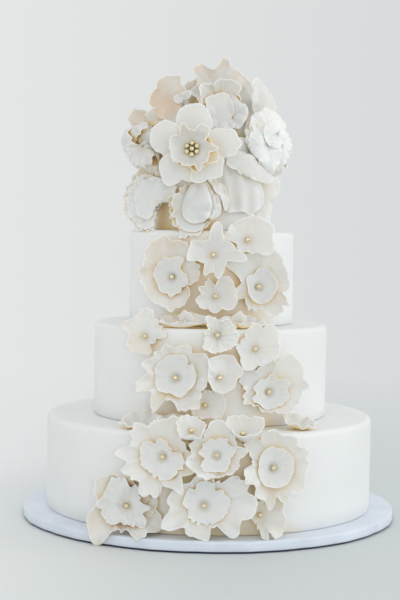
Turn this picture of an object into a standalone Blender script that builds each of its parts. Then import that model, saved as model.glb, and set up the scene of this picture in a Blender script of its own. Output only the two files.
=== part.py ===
"""Tiered wedding cake: four sugar-paste tiers on a wrapped round board, with a cascade of
ruffled sugar blossoms down the front and a crown of larger ones on top.

Metres, +Z up, the board's underside on z = 0, the front of the cake towards -Y.
Every blossom is laid on what is already there, in the order of the lists below: its sheet is
raised along its own axis wherever it would run into an earlier piece.
"""

import math
from typing import NamedTuple

import bmesh
import bpy
import numpy as np
from mathutils import Matrix, Vector
from mathutils.bvhtree import BVHTree

MM = 0.001
GAP = 0.3 * MM            # air between two pieces that touch

BOARD_RADIUS = 203.2 * MM
BOARD_HEIGHT = 12 * MM
BOARD_EDGE = 2.5 * MM     # rounding of the wrapped rim
TIER_HEIGHT = 100 * MM
TIER_RADII = (178 * MM, 127.5 * MM, 90 * MM, 64.5 * MM)
TIER_EDGE = 6 * MM        # rounding of the sugar paste over a tier's rim
ROUND_SIDES = 40
EDGE_STEPS = 2

PASTE = 1.6 * MM          # thickness of a rolled sugar petal
REACH = 22 * MM           # how far out a piece counts as lying under a new petal
SLOPE = 0.75              # steepest extra slope that a raised petal gets
STEP = 0.35 * MM          # one nudge of a petal that still touches its neighbour
NUDGES = 150             # most steps before a blossom counts as misplaced
WALL_SEAT = 1.5           # a throat's distance from the wall or top that it sits on, in millimetres
WALL_PITCH = 9.0          # how far the blossoms on the walls look up, in degrees
FRONTWARD = 0.12          # how much of its way round from the front a blossom also faces round
MOUND_RADIUS = 44 * MM
MOUND_HEIGHT = 34 * MM    # the mound of paste that the topmost blossoms are stuck in
MOUND_STEPS = 3
SWAY = 0.09               # unevenness of the lobes round a rim, in radians
UNEVEN = 0.3              # unevenness of their height
CALYX_SHARE = 0.2         # width of a blossom's calyx at its throat, as a share of its radius

BEAD_RADIUS = 2.8 * MM
BEAD_RING = 6.1 * MM

WHITE_PASTE = (0.90, 0.90, 0.87)
PETAL_WHITE = (0.92, 0.90, 0.86)
BOARD_BLUE = (0.62, 0.69, 0.80)


class Petals(NamedTuple):
    """One ruffled sheet, in millimetres and degrees: a bowl with lobes round its rim."""

    radius: float
    lobes: int = 7
    turn: float = 0.0
    notch: float = 0.06       # depth of the bays between the lobes, as a share of the radius
    flutter: float = 0.1      # how far the lobes fold back and the bays come forward
    curl: float = 46.0        # how far the bowl's side has turned up at its rim
    stretch: float = 1.0      # height of the sheet over its width
    sides: int = 2            # faces of the rim to each lobe
    rings: tuple = (0.45, 1.0)  # rings of corners round the throat, as shares of the way to the rim


class Blossom(NamedTuple):
    """Where a blossom's throat sits, in degrees round from the front and millimetres."""

    name: str
    azimuth: float
    height: float
    out: float                # from the cake's axis
    facing: float             # degrees round from the front
    pitch: float              # degrees up
    sheets: tuple
    bud: tuple = None         # half width, half height, half depth and distance of a closed bud
    calyx: str = ""           # the way its cone of paste runs to what carries it: down or back
    beads: bool = False


def on_wall(name, level, azimuth, height, *sheets):
    """A blossom on the wall of a tier, turned most of the way to the front."""
    out = TIER_RADII[level - 1] / MM + WALL_SEAT
    return Blossom(name, azimuth, height, out, FRONTWARD * azimuth, WALL_PITCH, sheets)


def on_ledge(name, level, azimuth, inset, pitch, *sheets):
    """A blossom on the top of a tier, at a distance in from its rim, looking up."""
    top = (BOARD_HEIGHT + level * TIER_HEIGHT) / MM
    return Blossom(name, azimuth, top + WALL_SEAT, TIER_RADII[level - 1] / MM - inset, azimuth, pitch, sheets)


def soft(radius, lobes, turn, **more):
    """The large back sheet of a blossom."""
    return Petals(radius, lobes, turn, **more)


def frill(radius, lobes, turn, **more):
    """The small sheet in the middle of a blossom."""
    return Petals(radius, lobes, turn, notch=0.05, flutter=0.08, rings=(1.0,), **more)


def star(radius, lobes, turn, **more):
    """A single sheet with pointed lobes."""
    return Petals(radius, lobes, turn, notch=0.12, flutter=0.12, **more)


def cup(radius, lobes, turn, curl, **more):
    """A deep layer of a closed blossom."""
    return Petals(radius, lobes, turn, curl=curl, **more)


# Discs that lie on the tiers' tops.
LEDGE = (
    on_ledge("ledge_ruffle_1", 1, -27, 26, 74, soft(20, 7, 20)),
    on_ledge("ledge_ruffle_2", 1, -13, 27, 76, soft(19, 7, 75)),
    on_ledge("ledge_ruffle_3", 1, 36, 24, 74, soft(18, 7, 140)),
    on_ledge("ledge_ruffle_4", 2, -16, 18.5, 72, soft(15.5, 7, 10)),
    on_ledge("ledge_ruffle_5", 2, 18, 18.5, 74, soft(15, 7, 60)),
)

# The blossoms of the three lower tiers, from the board up.
CASCADE = (
    on_wall("bloom_20", 1, 16.6, 33, star(23, 8, 12)),
    on_wall("bloom_18", 1, -26.6, 37.5, soft(36, 8, 6), frill(23, 6, 40)),
    on_wall("bloom_19", 1, -1.2, 42.5, soft(40, 9, 30), frill(22, 6, 10)),
    on_wall("bloom_17", 1, 21, 79, soft(35.5, 8, 55), frill(21, 6, 0)),
    on_wall("bloom_15", 1, -14.5, 89, soft(39, 8, 15), frill(21.5, 6, 22)),
    on_wall("bloom_16", 1, 2.6, 92.5, soft(29, 7, 48), frill(17, 6, 5)),
    on_wall("bloom_12", 2, -1.9, 135, star(18, 7, 33)),
    on_wall("bloom_09", 2, -15.6, 162, soft(37.5, 8, 38), frill(21, 6, 15)),
    on_wall("bloom_11", 2, 28, 148, soft(36, 8, 64), frill(20.5, 6, 28)),
    on_wall("bloom_10", 2, 4.4, 163, star(20, 7, 8)),
    on_wall("bloom_06", 2, -31.4, 203, star(23, 8, 20)),
    on_wall("bloom_07", 2, 3.2, 206.5, star(18.5, 7, 44)),
    on_wall("bloom_08", 2, 20.9, 192.5, star(23.5, 8, 3)),
    Blossom("bloom_13", -5.2, 112, 184, -3, 28, (star(12.5, 7, 15),)),
    Blossom("bloom_14", 10.5, 112.5, 182, 6, 34, (star(16, 7, 50),)),
    on_wall("bloom_02", 3, -26.5, 263, soft(34, 8, 26), frill(18, 6, 60)),
    on_wall("bloom_04", 3, 32.6, 254, soft(33, 8, 2), frill(18, 6, 33)),
    on_wall("bloom_05", 3, 2.8, 244, star(22.5, 8, 10)),
    on_wall("bloom_03", 3, 24, 303, star(23.5, 8, 30)),
    on_wall("bloom_01", 3, 1.2, 287, star(28, 9, 8)),
)

# Round and on the top tier. The last one is the large blossom with the cluster of beads.
CROWN = (
    Blossom("crown_back_left", -126, 397, 66, -126, 12, (soft(33, 7, 10), frill(19, 6, 35))),
    Blossom("crown_back", -176, 396, 66, -176, 12, (soft(33, 7, 42), frill(19, 6, 8))),
    Blossom("crown_back_right", 134, 397, 66, 134, 12, (soft(32, 7, 25), frill(19, 6, 60))),
    Blossom("crown_side_right", 88, 399, 66, 88, 12, (star(27, 7, 5),)),
    Blossom("crown_cup_lower_left", -45, 341, 66.5, -64, 3, (cup(28, 7, 20, 100), cup(20, 6, 50, 112))),
    Blossom("crown_bud", -11, 340, 66, -9, 4, (soft(25, 8, 12, stretch=1.2),), bud=(17, 25, 15, 18)),
    Blossom("crown_fold_lower_right", 26, 355, 66, 20, 10, (soft(31, 6, 30),)),
    Blossom("crown_cup_left", -76, 402, 66, -72, 20, (cup(29, 7, 0, 80), cup(18, 6, 30, 96))),
    Blossom("crown_ball_right", 44, 402, 66.5, 30, 8, (cup(31, 7, 18, 84), cup(22, 6, 45, 108))),
    Blossom("crown_top_back", 176, 444, 31, 176, 42, (soft(35, 7, 15), frill(20, 6, 30)), calyx="back"),
    Blossom("crown_top_left", -104, 448, 30, -104, 44, (soft(30, 7, 20),), calyx="back"),
    Blossom("crown_top_right", 96, 452, 27, 96, 46, (soft(28, 7, 45),), calyx="back"),
    Blossom("crown_top_sheet", 20, 451, 12, 8, 28, (star(42, 7, 21, curl=58),), calyx="down"),
    Blossom("crown_petal_left", -50, 446, 52, -24, 16, (cup(20.5, 6, 40, 62, stretch=1.3),), calyx="back"),
    Blossom("crown_petal_right", 64, 450, 57, 50, 14, (cup(17, 6, 10, 62, stretch=1.3),), calyx="back"),
    Blossom("crown_cup_top", 10, 438, 47, 6, 20, (cup(24, 7, 25, 92), cup(18, 6, 10, 108)), calyx="back"),
    Blossom("crown_hero", -11, 396.5, 84, -6, 6, (Petals(46, 5, 52, 0.13, 0.08, sides=4), frill(25.5, 9, 10)),
            calyx="back", beads=True),
)


def finish_named(name, colour, roughness):
    material = bpy.data.materials.new(name)
    material.use_nodes = True
    shader = material.node_tree.nodes["Principled BSDF"]
    shader.inputs["Base Color"].default_value = (*colour, 1.0)
    shader.inputs["Roughness"].default_value = roughness
    shader.inputs["Metallic"].default_value = 0.0
    material.diffuse_color = (*colour, 1.0)
    return material


def clear_scene():
    for thing in list(bpy.data.objects):
        bpy.data.objects.remove(thing, do_unlink=True)


def new_collection(name):
    collection = bpy.data.collections.new(name)
    bpy.context.scene.collection.children.link(collection)
    return collection


def new_object(name, mesh, collection, colour, roughness):
    thing = bpy.data.objects.new(name, mesh)
    mesh.materials.append(finish_named(name + "_finish", colour, roughness))
    collection.objects.link(thing)
    return thing


def turned(name, profile, collection, colour, roughness):
    """A solid turned round Z from (radius, height) points that run down its outer side."""
    mesh = bpy.data.meshes.new(name)
    corners = [(radius, 0.0, height) for radius, height in profile]
    edges = [(i, i + 1) for i in range(len(corners) - 1)]
    mesh.from_pydata(corners, edges, [])
    thing = new_object(name, mesh, collection, colour, roughness)
    screw = thing.modifiers.new("turn", "SCREW")
    screw.steps = ROUND_SIDES
    screw.render_steps = ROUND_SIDES
    screw.use_merge_vertices = True
    screw.merge_threshold = 0.00001
    screw.use_smooth_shade = False
    return thing


def rounded_corner(radius, height, edge, start):
    """Points of a quarter round whose centre is one edge in from the corner, from the angle start."""
    points = []
    for i in range(EDGE_STEPS + 1):
        angle = start - math.pi / 2 * i / EDGE_STEPS
        points.append((radius + edge * math.cos(angle), height + edge * math.sin(angle)))
    return points


def board(collection):
    inner = BOARD_RADIUS - BOARD_EDGE
    profile = [(0.0, BOARD_HEIGHT)]
    profile += rounded_corner(inner, BOARD_HEIGHT - BOARD_EDGE, BOARD_EDGE, math.pi / 2)
    profile += rounded_corner(inner, BOARD_EDGE, BOARD_EDGE, 0.0)
    profile.append((0.0, 0.0))
    return turned("board", profile, collection, BOARD_BLUE, 0.45)


def tier(index, collection):
    radius = TIER_RADII[index]
    foot = BOARD_HEIGHT + TIER_HEIGHT * index + GAP
    top = BOARD_HEIGHT + TIER_HEIGHT * (index + 1)
    profile = [(0.0, top)]
    profile += rounded_corner(radius - TIER_EDGE, top - TIER_EDGE, TIER_EDGE, math.pi / 2)
    profile += [(radius, foot), (0.0, foot)]
    return turned(f"tier_{index + 1}", profile, collection, WHITE_PASTE, 0.55)


def mound(collection):
    """The low dome of paste on the top tier that carries the topmost blossoms."""
    foot = BOARD_HEIGHT + TIER_HEIGHT * len(TIER_RADII) + GAP
    profile = []
    for i in range(MOUND_STEPS + 1):
        angle = math.pi / 2 * i / MOUND_STEPS
        profile.append((MOUND_RADIUS * math.sin(angle), foot + MOUND_HEIGHT * math.cos(angle)))
    profile.append((0.0, foot))
    return turned("crown_mound", profile, collection, WHITE_PASTE, 0.55)


def pole_facing(blossom):
    """The matrix of a blossom: its throat's place, with +Z along the way it faces and +Y up."""
    round_to = math.radians(blossom.azimuth)
    place = Vector((blossom.out * math.sin(round_to), -blossom.out * math.cos(round_to), blossom.height)) * MM
    facing = math.radians(blossom.facing)
    pitch = math.radians(blossom.pitch)
    right = Vector((math.cos(facing), math.sin(facing), 0.0))
    ahead = Vector((math.sin(facing) * math.cos(pitch), -math.cos(facing) * math.cos(pitch), math.sin(pitch)))
    turn = Matrix((right, ahead.cross(right), ahead)).transposed().to_4x4()
    return Matrix.Translation(place) @ turn


def ruffled_point(petals, share, base):
    """A point of a sheet: share 0 at the throat to 1 at the rim, and the angle base round it."""
    radius = petals.radius * MM
    curl = math.radians(petals.curl)
    turn = math.radians(petals.turn)
    ball = radius / math.sin(min(curl, math.pi / 2))
    rise = curl * share
    growth = max(0.0, (share - 0.3) / 0.7) ** 1.5
    strength = growth * (1 + UNEVEN * math.sin(base + 2 * turn))
    tip = 1 - 1.5 * abs(math.sin(petals.lobes * base / 2))
    wave = math.cos(petals.lobes * base)
    along = radius * petals.notch * strength * tip
    back = radius * petals.flutter * strength * wave
    reach = ball * math.sin(rise) + along * math.cos(rise) + back * math.sin(rise)
    height = ball * (1 - math.cos(rise)) + along * math.sin(rise) - back * math.cos(rise)
    angle = base + turn + SWAY * math.sin(2 * base + 3 * turn)
    return Vector((reach * math.cos(angle), reach * math.sin(angle) * petals.stretch, height))


def sheet_mesh(name, petals):
    """A fan round the throat and rings round the fan, moved onto the ruffled shape."""
    rings = petals.rings
    sides = petals.lobes * petals.sides
    shape = bmesh.new()
    bmesh.ops.create_circle(shape, cap_ends=True, cap_tris=True, segments=sides, radius=rings[0])
    for inner, outer in zip(rings, rings[1:]):
        rim = [edge for edge in shape.edges if edge.is_boundary]
        grown = bmesh.ops.extrude_edge_only(shape, edges=rim)["geom"]
        corners = [part for part in grown if isinstance(part, bmesh.types.BMVert)]
        bmesh.ops.scale(shape, vec=(outer / inner, outer / inner, 1.0), verts=corners)
    bmesh.ops.triangulate(shape, faces=shape.faces[:])
    for corner in shape.verts:
        base = math.atan2(-corner.co.x, corner.co.y)
        corner.co = ruffled_point(petals, corner.co.xy.length, base)
    bmesh.ops.recalc_face_normals(shape, faces=shape.faces[:])
    mesh = bpy.data.meshes.new(name)
    shape.to_mesh(mesh)
    shape.free()
    return mesh


def solid_faces(thing):
    """The corners and faces of a piece as built, in the cake's frame."""
    bpy.context.view_layer.update()
    made = thing.evaluated_get(bpy.context.evaluated_depsgraph_get())
    mesh = made.to_mesh()
    mesh.transform(thing.matrix_world)
    corners = [corner.co.copy() for corner in mesh.vertices]
    faces = [tuple(face.vertices) for face in mesh.polygons]
    made.to_mesh_clear()
    return corners, faces


class Laid:
    """All that has been laid so far, as one surface to lay the next piece on."""

    def __init__(self):
        self.corners = []
        self.faces = []

    def add(self, thing):
        corners, faces = solid_faces(thing)
        first = len(self.corners)
        self.corners += corners
        self.faces += [tuple(first + i for i in face) for face in faces]

    def tree(self):
        return BVHTree.FromPolygons(self.corners, self.faces)


def rise_needed(point, axis, tree):
    """How far a point must rise along the axis to clear what lies within reach of it."""
    hit = tree.ray_cast(point + axis * REACH, -axis, 2 * REACH)
    if hit[0] is None:
        return 0.0
    return max(0.0, REACH - hit[3] + 0.75 * PASTE + GAP)


def spread(rises, corners, fixed):
    """Eases each rise out over its neighbours, so that the sheet keeps a soft slope."""
    flat = np.array([(corner.x, corner.y) for corner in corners])
    apart = np.linalg.norm(flat[:, None] - flat[None, :], axis=2)
    eased = np.max(rises[None, :] - SLOPE * apart, axis=1)
    eased = np.maximum(eased, 0.0)
    eased[fixed] = 0.0
    return eased


def raise_corners(mesh, rises):
    for corner, rise in zip(mesh.vertices, rises):
        corner.co.z += rise
    mesh.update()


def lift_over(thing, tree, fixed):
    """Raises a sheet above the surface under it, looked up at its corners and mid-faces."""
    mesh = thing.data
    axis = (thing.matrix_world.to_3x3() @ Vector((0, 0, 1))).normalized()
    for _ in range(3):
        rises = np.zeros(len(mesh.vertices))
        for corner in mesh.vertices:
            rises[corner.index] = rise_needed(thing.matrix_world @ corner.co, axis, tree)
        for face in mesh.polygons:
            need = rise_needed(thing.matrix_world @ face.center, axis, tree)
            for index in face.vertices:
                rises[index] = max(rises[index], need)
        raise_corners(mesh, spread(rises, [corner.co for corner in mesh.vertices], fixed))


def touching(thing, tree):
    """Middles of the faces of a piece that still run into the tree, in the piece's own frame."""
    corners, faces = solid_faces(thing)
    own = BVHTree.FromPolygons(corners, faces)
    back = thing.matrix_world.inverted()
    middles = []
    for face in {pair[0] for pair in own.overlap(tree)}:
        middles.append(back @ (sum((corners[i] for i in faces[face]), Vector()) / len(faces[face])))
    return middles


def nudge_clear(thing, tree, fixed):
    """Raises the corners near each touch, a step at a time, until nothing touches."""
    mesh = thing.data
    for attempt in range(NUDGES):
        middles = touching(thing, tree)
        if not middles:
            return
        flat = np.array([(corner.co.x, corner.co.y) for corner in mesh.vertices])
        rises = np.zeros(len(mesh.vertices))
        for middle in middles:
            away = np.linalg.norm(flat - np.array((middle.x, middle.y)), axis=1)
            away[fixed] = np.inf
            rises[np.argsort(away)[:3]] = STEP
        if attempt > NUDGES / 3:
            rises[:] = STEP
        raise_corners(mesh, spread(rises, [corner.co for corner in mesh.vertices], fixed))
    raise RuntimeError(f"{thing.name} can't be laid clear of its neighbours")


def slide_clear(things, tree):
    """Moves a rigid group out along its axis until nothing touches."""
    axis = (things[0].matrix_world.to_3x3() @ Vector((0, 0, 1))).normalized()
    for _ in range(200):
        if not any(touching(thing, tree) for thing in things):
            return
        for thing in things:
            thing.matrix_world = Matrix.Translation(axis * STEP) @ thing.matrix_world
    raise RuntimeError(f"{things[0].name} can't be laid clear of its neighbours")


def thicken(thing, thickness):
    shell = thing.modifiers.get("paste") or thing.modifiers.new("paste", "SOLIDIFY")
    shell.offset = 0.0
    shell.thickness = thickness


def sheet(name, petals, matrix, collection):
    thing = new_object(name, sheet_mesh(name, petals), collection, PETAL_WHITE, 0.5)
    thing.matrix_world = matrix
    thicken(thing, PASTE + 2 * GAP)
    return thing


def join(thing, others, hidden):
    """Makes one body of a blossom's layers: the others stay as the tools of its unions."""
    for other in others:
        for collection in list(other.users_collection):
            collection.objects.unlink(other)
        hidden.objects.link(other)
        other.hide_render = True
        other.display_type = "WIRE"
        union = thing.modifiers.new("join " + other.name, "BOOLEAN")
        union.operation = "UNION"
        union.solver = "EXACT"
        union.object = other


def throat(thing):
    """Index of the corner at a sheet's throat, the nearest to its axis."""
    return min(thing.data.vertices, key=lambda corner: corner.co.xy.length).index


def closed_bud(blossom, matrix, collection):
    """The smooth closed bud in the middle of a blossom."""
    half_width, half_height, half_depth, ahead = (size * MM for size in blossom.bud)
    shape = bmesh.new()
    bmesh.ops.create_uvsphere(shape, u_segments=10, v_segments=7, radius=1.0)
    bmesh.ops.scale(shape, vec=(half_width, half_height, half_depth), verts=shape.verts)
    bmesh.ops.translate(shape, vec=(0, 0, ahead), verts=shape.verts)
    mesh = bpy.data.meshes.new(blossom.name + "_bud")
    shape.to_mesh(mesh)
    shape.free()
    thing = new_object(mesh.name, mesh, collection, PETAL_WHITE, 0.5)
    thing.matrix_world = matrix
    return thing


def bead(name, place, matrix, collection):
    shape = bmesh.new()
    bmesh.ops.create_uvsphere(shape, u_segments=6, v_segments=3, radius=BEAD_RADIUS)
    bmesh.ops.translate(shape, vec=place, verts=shape.verts)
    mesh = bpy.data.meshes.new(name)
    shape.to_mesh(mesh)
    shape.free()
    thing = new_object(name, mesh, collection, PETAL_WHITE, 0.5)
    thing.matrix_world = matrix
    return thing


def calyx(name, way, narrow, matrix, laid, collection):
    """The cone of paste behind a blossom that stands off what carries it, down to that piece."""
    tree = laid.tree()
    pole = matrix.translation
    ahead = Vector((0, 0, -1)) if way == "down" else -(matrix.to_3x3() @ Vector((0, 0, 1))).normalized()
    reach = tree.ray_cast(pole + ahead * PASTE, ahead)[3] + PASTE - GAP
    shape = bmesh.new()
    bmesh.ops.create_cone(shape, cap_ends=True, segments=6, radius1=narrow, radius2=1.6 * narrow, depth=1.0)
    bmesh.ops.translate(shape, vec=(0, 0, 0.5), verts=shape.verts)
    mesh = bpy.data.meshes.new(name)
    shape.to_mesh(mesh)
    shape.free()
    thing = new_object(name, mesh, collection, PETAL_WHITE, 0.5)
    turn = ahead.to_track_quat("Z", "Y").to_matrix().to_4x4()
    while reach > PASTE:
        thing.matrix_world = Matrix.Translation(pole) @ turn @ Matrix.Diagonal((1, 1, reach, 1))
        if not touching(thing, tree):
            return thing
        reach -= STEP
    raise RuntimeError(f"{name} runs into its neighbours")


def lay_sheets(blossom, laid, collection):
    """A blossom of open sheets: the first is raised over what is there, the next over the first."""
    matrix = pole_facing(blossom)
    first = sheet(blossom.name, blossom.sheets[0], matrix, collection)
    tree = laid.tree()
    lift_over(first, tree, [])
    nudge_clear(first, tree, [])
    pieces = [first]
    for petals in blossom.sheets[1:]:
        seat = first.data.vertices[throat(first)].co.z + PASTE / 2
        upper = sheet(blossom.name + "_front", petals, matrix @ Matrix.Translation((0, 0, seat)), collection)
        under = Laid()
        under.add(first)
        middle = [corner.index for corner in upper.data.vertices if corner.co.xy.length < 0.3 * petals.radius * MM]
        lift_over(upper, under.tree(), middle)
        nudge_clear(upper, tree, [])
        pieces.append(upper)
    if blossom.bud:
        seat = matrix @ Matrix.Translation((0, 0, first.data.vertices[throat(first)].co.z))
        pieces.append(closed_bud(blossom, seat, collection))
    return pieces


def lay_cup(blossom, laid, collection):
    """A blossom of deep cups, one in another, moved out as one until it is clear."""
    matrix = pole_facing(blossom)
    pieces = []
    for layer, petals in enumerate(blossom.sheets):
        seat = matrix @ Matrix.Translation((0, 0, layer * PASTE / 2))
        pieces.append(sheet(f"{blossom.name}_layer_{layer}" if layer else blossom.name, petals, seat, collection))
    slide_clear(pieces, laid.tree())
    return pieces


def lay(blossom, laid, collection, hidden):
    """Places one blossom on all that is laid, and joins its layers into one body."""
    deep = blossom.sheets[0].curl > 60
    pieces = lay_cup(blossom, laid, collection) if deep else lay_sheets(blossom, laid, collection)
    first = pieces[0]
    if blossom.calyx:
        pole = first.matrix_world @ first.data.vertices[throat(first)].co
        seat = Matrix.Translation(pole) @ first.matrix_world.to_3x3().to_4x4()
        narrow = CALYX_SHARE * blossom.sheets[0].radius * MM
        pieces.append(calyx(blossom.name + "_calyx", blossom.calyx, narrow, seat, laid, collection))
    if blossom.beads:
        top = pieces[1].data.vertices[throat(pieces[1])].co.z + BEAD_RADIUS
        spots = [Vector((0, 0, top))]
        for i in range(6):
            angle = math.radians(60 * i + 30)
            spots.append(Vector((BEAD_RING * math.cos(angle), BEAD_RING * math.sin(angle), top)))
        for i, spot in enumerate(spots):
            pieces.append(bead(f"{blossom.name}_bead_{i}", spot, pieces[1].matrix_world, collection))
    for piece in pieces:
        if piece.modifiers.get("paste"):
            thicken(piece, PASTE)
    join(first, pieces[1:], hidden)
    laid.add(first)


def main():
    clear_scene()
    cake = new_collection("wedding_cake")
    tools = new_collection("union_tools")
    laid = Laid()
    laid.add(board(cake))
    for index in range(len(TIER_RADII)):
        laid.add(tier(index, cake))
    laid.add(mound(cake))
    for blossom in LEDGE + CASCADE + CROWN:
        lay(blossom, laid, cake, tools)


main()
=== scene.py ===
"""Looks of a tiered wedding cake: sugar paste tiers, ruffled sugar blossoms, gold beads, wrapped board.

Laid out as a Blender add-on and run as a script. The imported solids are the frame: each is
replaced by a finer piece in its place. Metres, +Z up, the front of the cake towards -Y.
"""

import math
from typing import NamedTuple

import bmesh
import bpy
import numpy as np
from mathutils import Matrix, Vector, noise
from mathutils.bvhtree import BVHTree


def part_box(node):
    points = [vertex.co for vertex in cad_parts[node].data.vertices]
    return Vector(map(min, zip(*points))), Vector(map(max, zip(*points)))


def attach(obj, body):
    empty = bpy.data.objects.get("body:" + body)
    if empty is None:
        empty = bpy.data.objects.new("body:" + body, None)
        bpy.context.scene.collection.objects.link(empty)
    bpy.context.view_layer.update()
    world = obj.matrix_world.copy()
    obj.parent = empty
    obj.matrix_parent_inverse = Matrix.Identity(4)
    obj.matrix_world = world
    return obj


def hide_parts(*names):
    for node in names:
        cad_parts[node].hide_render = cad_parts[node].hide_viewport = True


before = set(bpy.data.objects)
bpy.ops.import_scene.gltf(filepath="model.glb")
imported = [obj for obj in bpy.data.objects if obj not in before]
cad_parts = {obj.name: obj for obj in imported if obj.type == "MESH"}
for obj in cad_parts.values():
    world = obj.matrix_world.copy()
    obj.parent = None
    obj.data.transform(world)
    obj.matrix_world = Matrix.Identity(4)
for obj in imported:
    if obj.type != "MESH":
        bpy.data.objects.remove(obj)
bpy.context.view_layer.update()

bl_info = {
    "name": "Tiered wedding cake",
    "version": (1, 0, 0),
    "blender": (4, 5, 0),
    "location": "3D View > Sidebar > Cake",
    "description": "Builds a tiered wedding cake with ruffled sugar blossoms on its packed frame",
    "category": "Add Mesh",
}

MM = 0.001
GAP = 0.3 * MM
TIERS = ("tier_1", "tier_2", "tier_3", "tier_4")
TIER_SEGMENTS = 160
RINGS = 16
SIDES = 168
LEAF_SIDES = 60
REACH = 22 * MM           # how far out a piece counts as lying under a new petal
SLOPE = 0.6               # steepest extra slope that a raised petal gets
WALL_SEAT = 1.5           # a throat's distance from the wall or top that it sits on, in millimetres
WALL_PITCH = 9.0          # how far the blossoms on the walls look up, in degrees
WALL_PAINTED_SHADE_AND_LIGHT = (0.72, 0.78, 0.9, 1.0)   # strength of the painted golden shade, tier by tier; below 1 the wall blossoms also take more of the pale petals' painted light
COVERED = ((-36, 36), (-40, 36), (-60, 46), (-75, 8))   # the part round each tier that the blossoms shelter, where it takes painted shade
COVER_FADE = 10           # degrees over which that painted shade fades out
THROAT_ROW = 0.03         # where a disc's first row of corners lies, as a share of the way to its rim
FOOT_ROW = 0.06           # the same for a single petal
CLEARANCE = 0.75          # how far a sheet's middle surface stays off what it lies on, in thicknesses of paste
LAYER_STEP = 0.6          # how much further ahead each sheet starts than the last, in thicknesses of paste
FUSED = 0.35              # the middle of a sheet that stays on the one under it, as a share of its radius
NEARBY = 60 * MM          # how far from a throat a piece may lie and still be laid on
DENT = 11 * MM            # length of the dents of a hand-worked sheet
FOLD = 2.4 * MM           # the same for soft upright folds
LAYER_SEED = 3.1          # step between the seeds of a blossom's sheets
BLOSSOM_SEED = 11.7       # step between the seeds of a group's blossoms
LEDGE_SEED = 3.0
CASCADE_SEED = 100.0
CROWN_SEED = 500.0
STEM_SIDES = 14
STEM_RINGS = 6
STEM_SPREAD = 1.4         # how much wider a cone of paste is at its foot than behind its petal
STEM_WAIST = 0.25         # how much a cone narrows in its middle
STEM_LEAST = 3 * MM       # a throat nearer than this to the wall needs no cone
STEM_BEHIND = 1.6         # how far behind a sheet's middle surface a cone starts, in thicknesses of paste
STEM_THIN = 4 * MM        # radius of a cone behind a small or convex sheet
STEM_SHARE = 0.28         # radius of the others, as a share of the sheet's
POLE = 0.5 * MM           # radius of the small flat in the middle of a turned piece's top and foot
CLUSTER_RING = 6.1 * MM   # radius of the ring of beads in the large blossom
CLUSTER_BEAD = 1.04       # how much larger its beads are
FLOOR_RADIUS = 1.6
FLOOR_FADE = (0.45, 1.5)  # where the floor starts to melt into the surroundings, and where it has gone
FLOOR_PAINTED_LIGHT = (-0.28, 0.0)   # painted light on the floor: from how far left to where it darkens to its plain colour, in metres
BACKDROP = 0.16           # how far to each side of the middle the backdrop darkens
BACKDROP_LEFT = (0.785, 0.80, 0.795)
BACKDROP_RIGHT = (0.68, 0.70, 0.705)
BEFORE = (0.7, 0.2)       # from where behind the cake to where the backdrop gives way to the front's light
FRONTWARD = 0.12          # how much of its way round from the front a blossom also faces round


def tier_radius(level):
    low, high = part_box(TIERS[level - 1])
    return (high.x - low.x) / 2


def tier_top(level):
    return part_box(TIERS[level - 1])[1].z


# ---------------------------------------------------------------- settings


class CakeTiers(bpy.types.PropertyGroup):
    edge: bpy.props.FloatProperty(
        name="Rounded rim", description="Rounding of the paste over a tier's rim",
        default=6 * MM, unit="LENGTH")
    colour: bpy.props.FloatVectorProperty(
        name="Paste", description="Colour of the rolled sugar paste", subtype="COLOR",
        default=(0.86, 0.87, 0.87))
    # Painted shade: the golden colour of the paste close behind the blossoms.
    painted_shade: bpy.props.FloatVectorProperty(
        name="Sheltered", description="Colour of the paste close behind the blossoms", subtype="COLOR",
        default=(0.92, 0.74, 0.42))


class CakePetals(bpy.types.PropertyGroup):
    paste: bpy.props.FloatProperty(
        name="Paste", description="Thickness of a petal at its throat",
        default=1.5 * MM, unit="LENGTH")
    rim: bpy.props.FloatProperty(
        name="Thinned rim", description="Thickness of a petal at its frilled rim",
        default=0.75 * MM, unit="LENGTH")
    colour: bpy.props.FloatVectorProperty(
        name="Petals", description="Colour of the gum paste in the light", subtype="COLOR",
        default=(0.775, 0.775, 0.76))
    # Painted light: a lighter copy of the petal colour, for blossoms that stand in brighter light.
    pale: bpy.props.FloatVectorProperty(
        name="Pale petals", description="Colour of the whitest blossoms", subtype="COLOR",
        default=(0.93, 0.925, 0.90))
    shade: bpy.props.FloatVectorProperty(
        name="Shade", description="Colour where petals shelter one another", subtype="COLOR",
        default=(0.95, 0.85, 0.66))
    # Painted shade: the gold-tan deep between the petals.
    crevice: bpy.props.FloatVectorProperty(
        name="Crevices", description="Colour deep between the petals", subtype="COLOR",
        default=(1.0, 0.76, 0.40))
    # Also painted shade: the blush's full colour is laid only deep in the hollows; in the open a lighter mix of it is
    # used.
    blush: bpy.props.FloatVectorProperty(
        name="Blush", description="Colour of the faint blush in some hollows", subtype="COLOR",
        default=(0.74, 0.54, 0.36))


class CakeBeads(bpy.types.PropertyGroup):
    radius: bpy.props.FloatProperty(
        name="Radius", description="Radius of a gold sugar bead", default=2.9 * MM, unit="LENGTH")
    colour: bpy.props.FloatVectorProperty(
        name="Gold", description="Colour of the gold lustre", subtype="COLOR",
        default=(0.84, 0.75, 0.52))
    shade: bpy.props.FloatVectorProperty(
        name="Seat", description="Colour low on a bead, where it sits in the throat", subtype="COLOR",
        default=(0.42, 0.31, 0.12))


class CakeBoard(bpy.types.PropertyGroup):
    folds: bpy.props.IntProperty(
        name="Folds", description="Folds of the wrap round the board's edge", default=26)
    colour: bpy.props.FloatVectorProperty(
        name="Wrap", description="Colour of the board's satin wrap", subtype="COLOR",
        default=(0.69, 0.75, 0.84))
    # Painted shadow: the near-black navy of the recessed foot under the board's edge.
    foot: bpy.props.FloatVectorProperty(
        name="Foot", description="Colour of the board's recessed foot", subtype="COLOR",
        default=(0.02, 0.03, 0.09))


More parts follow.
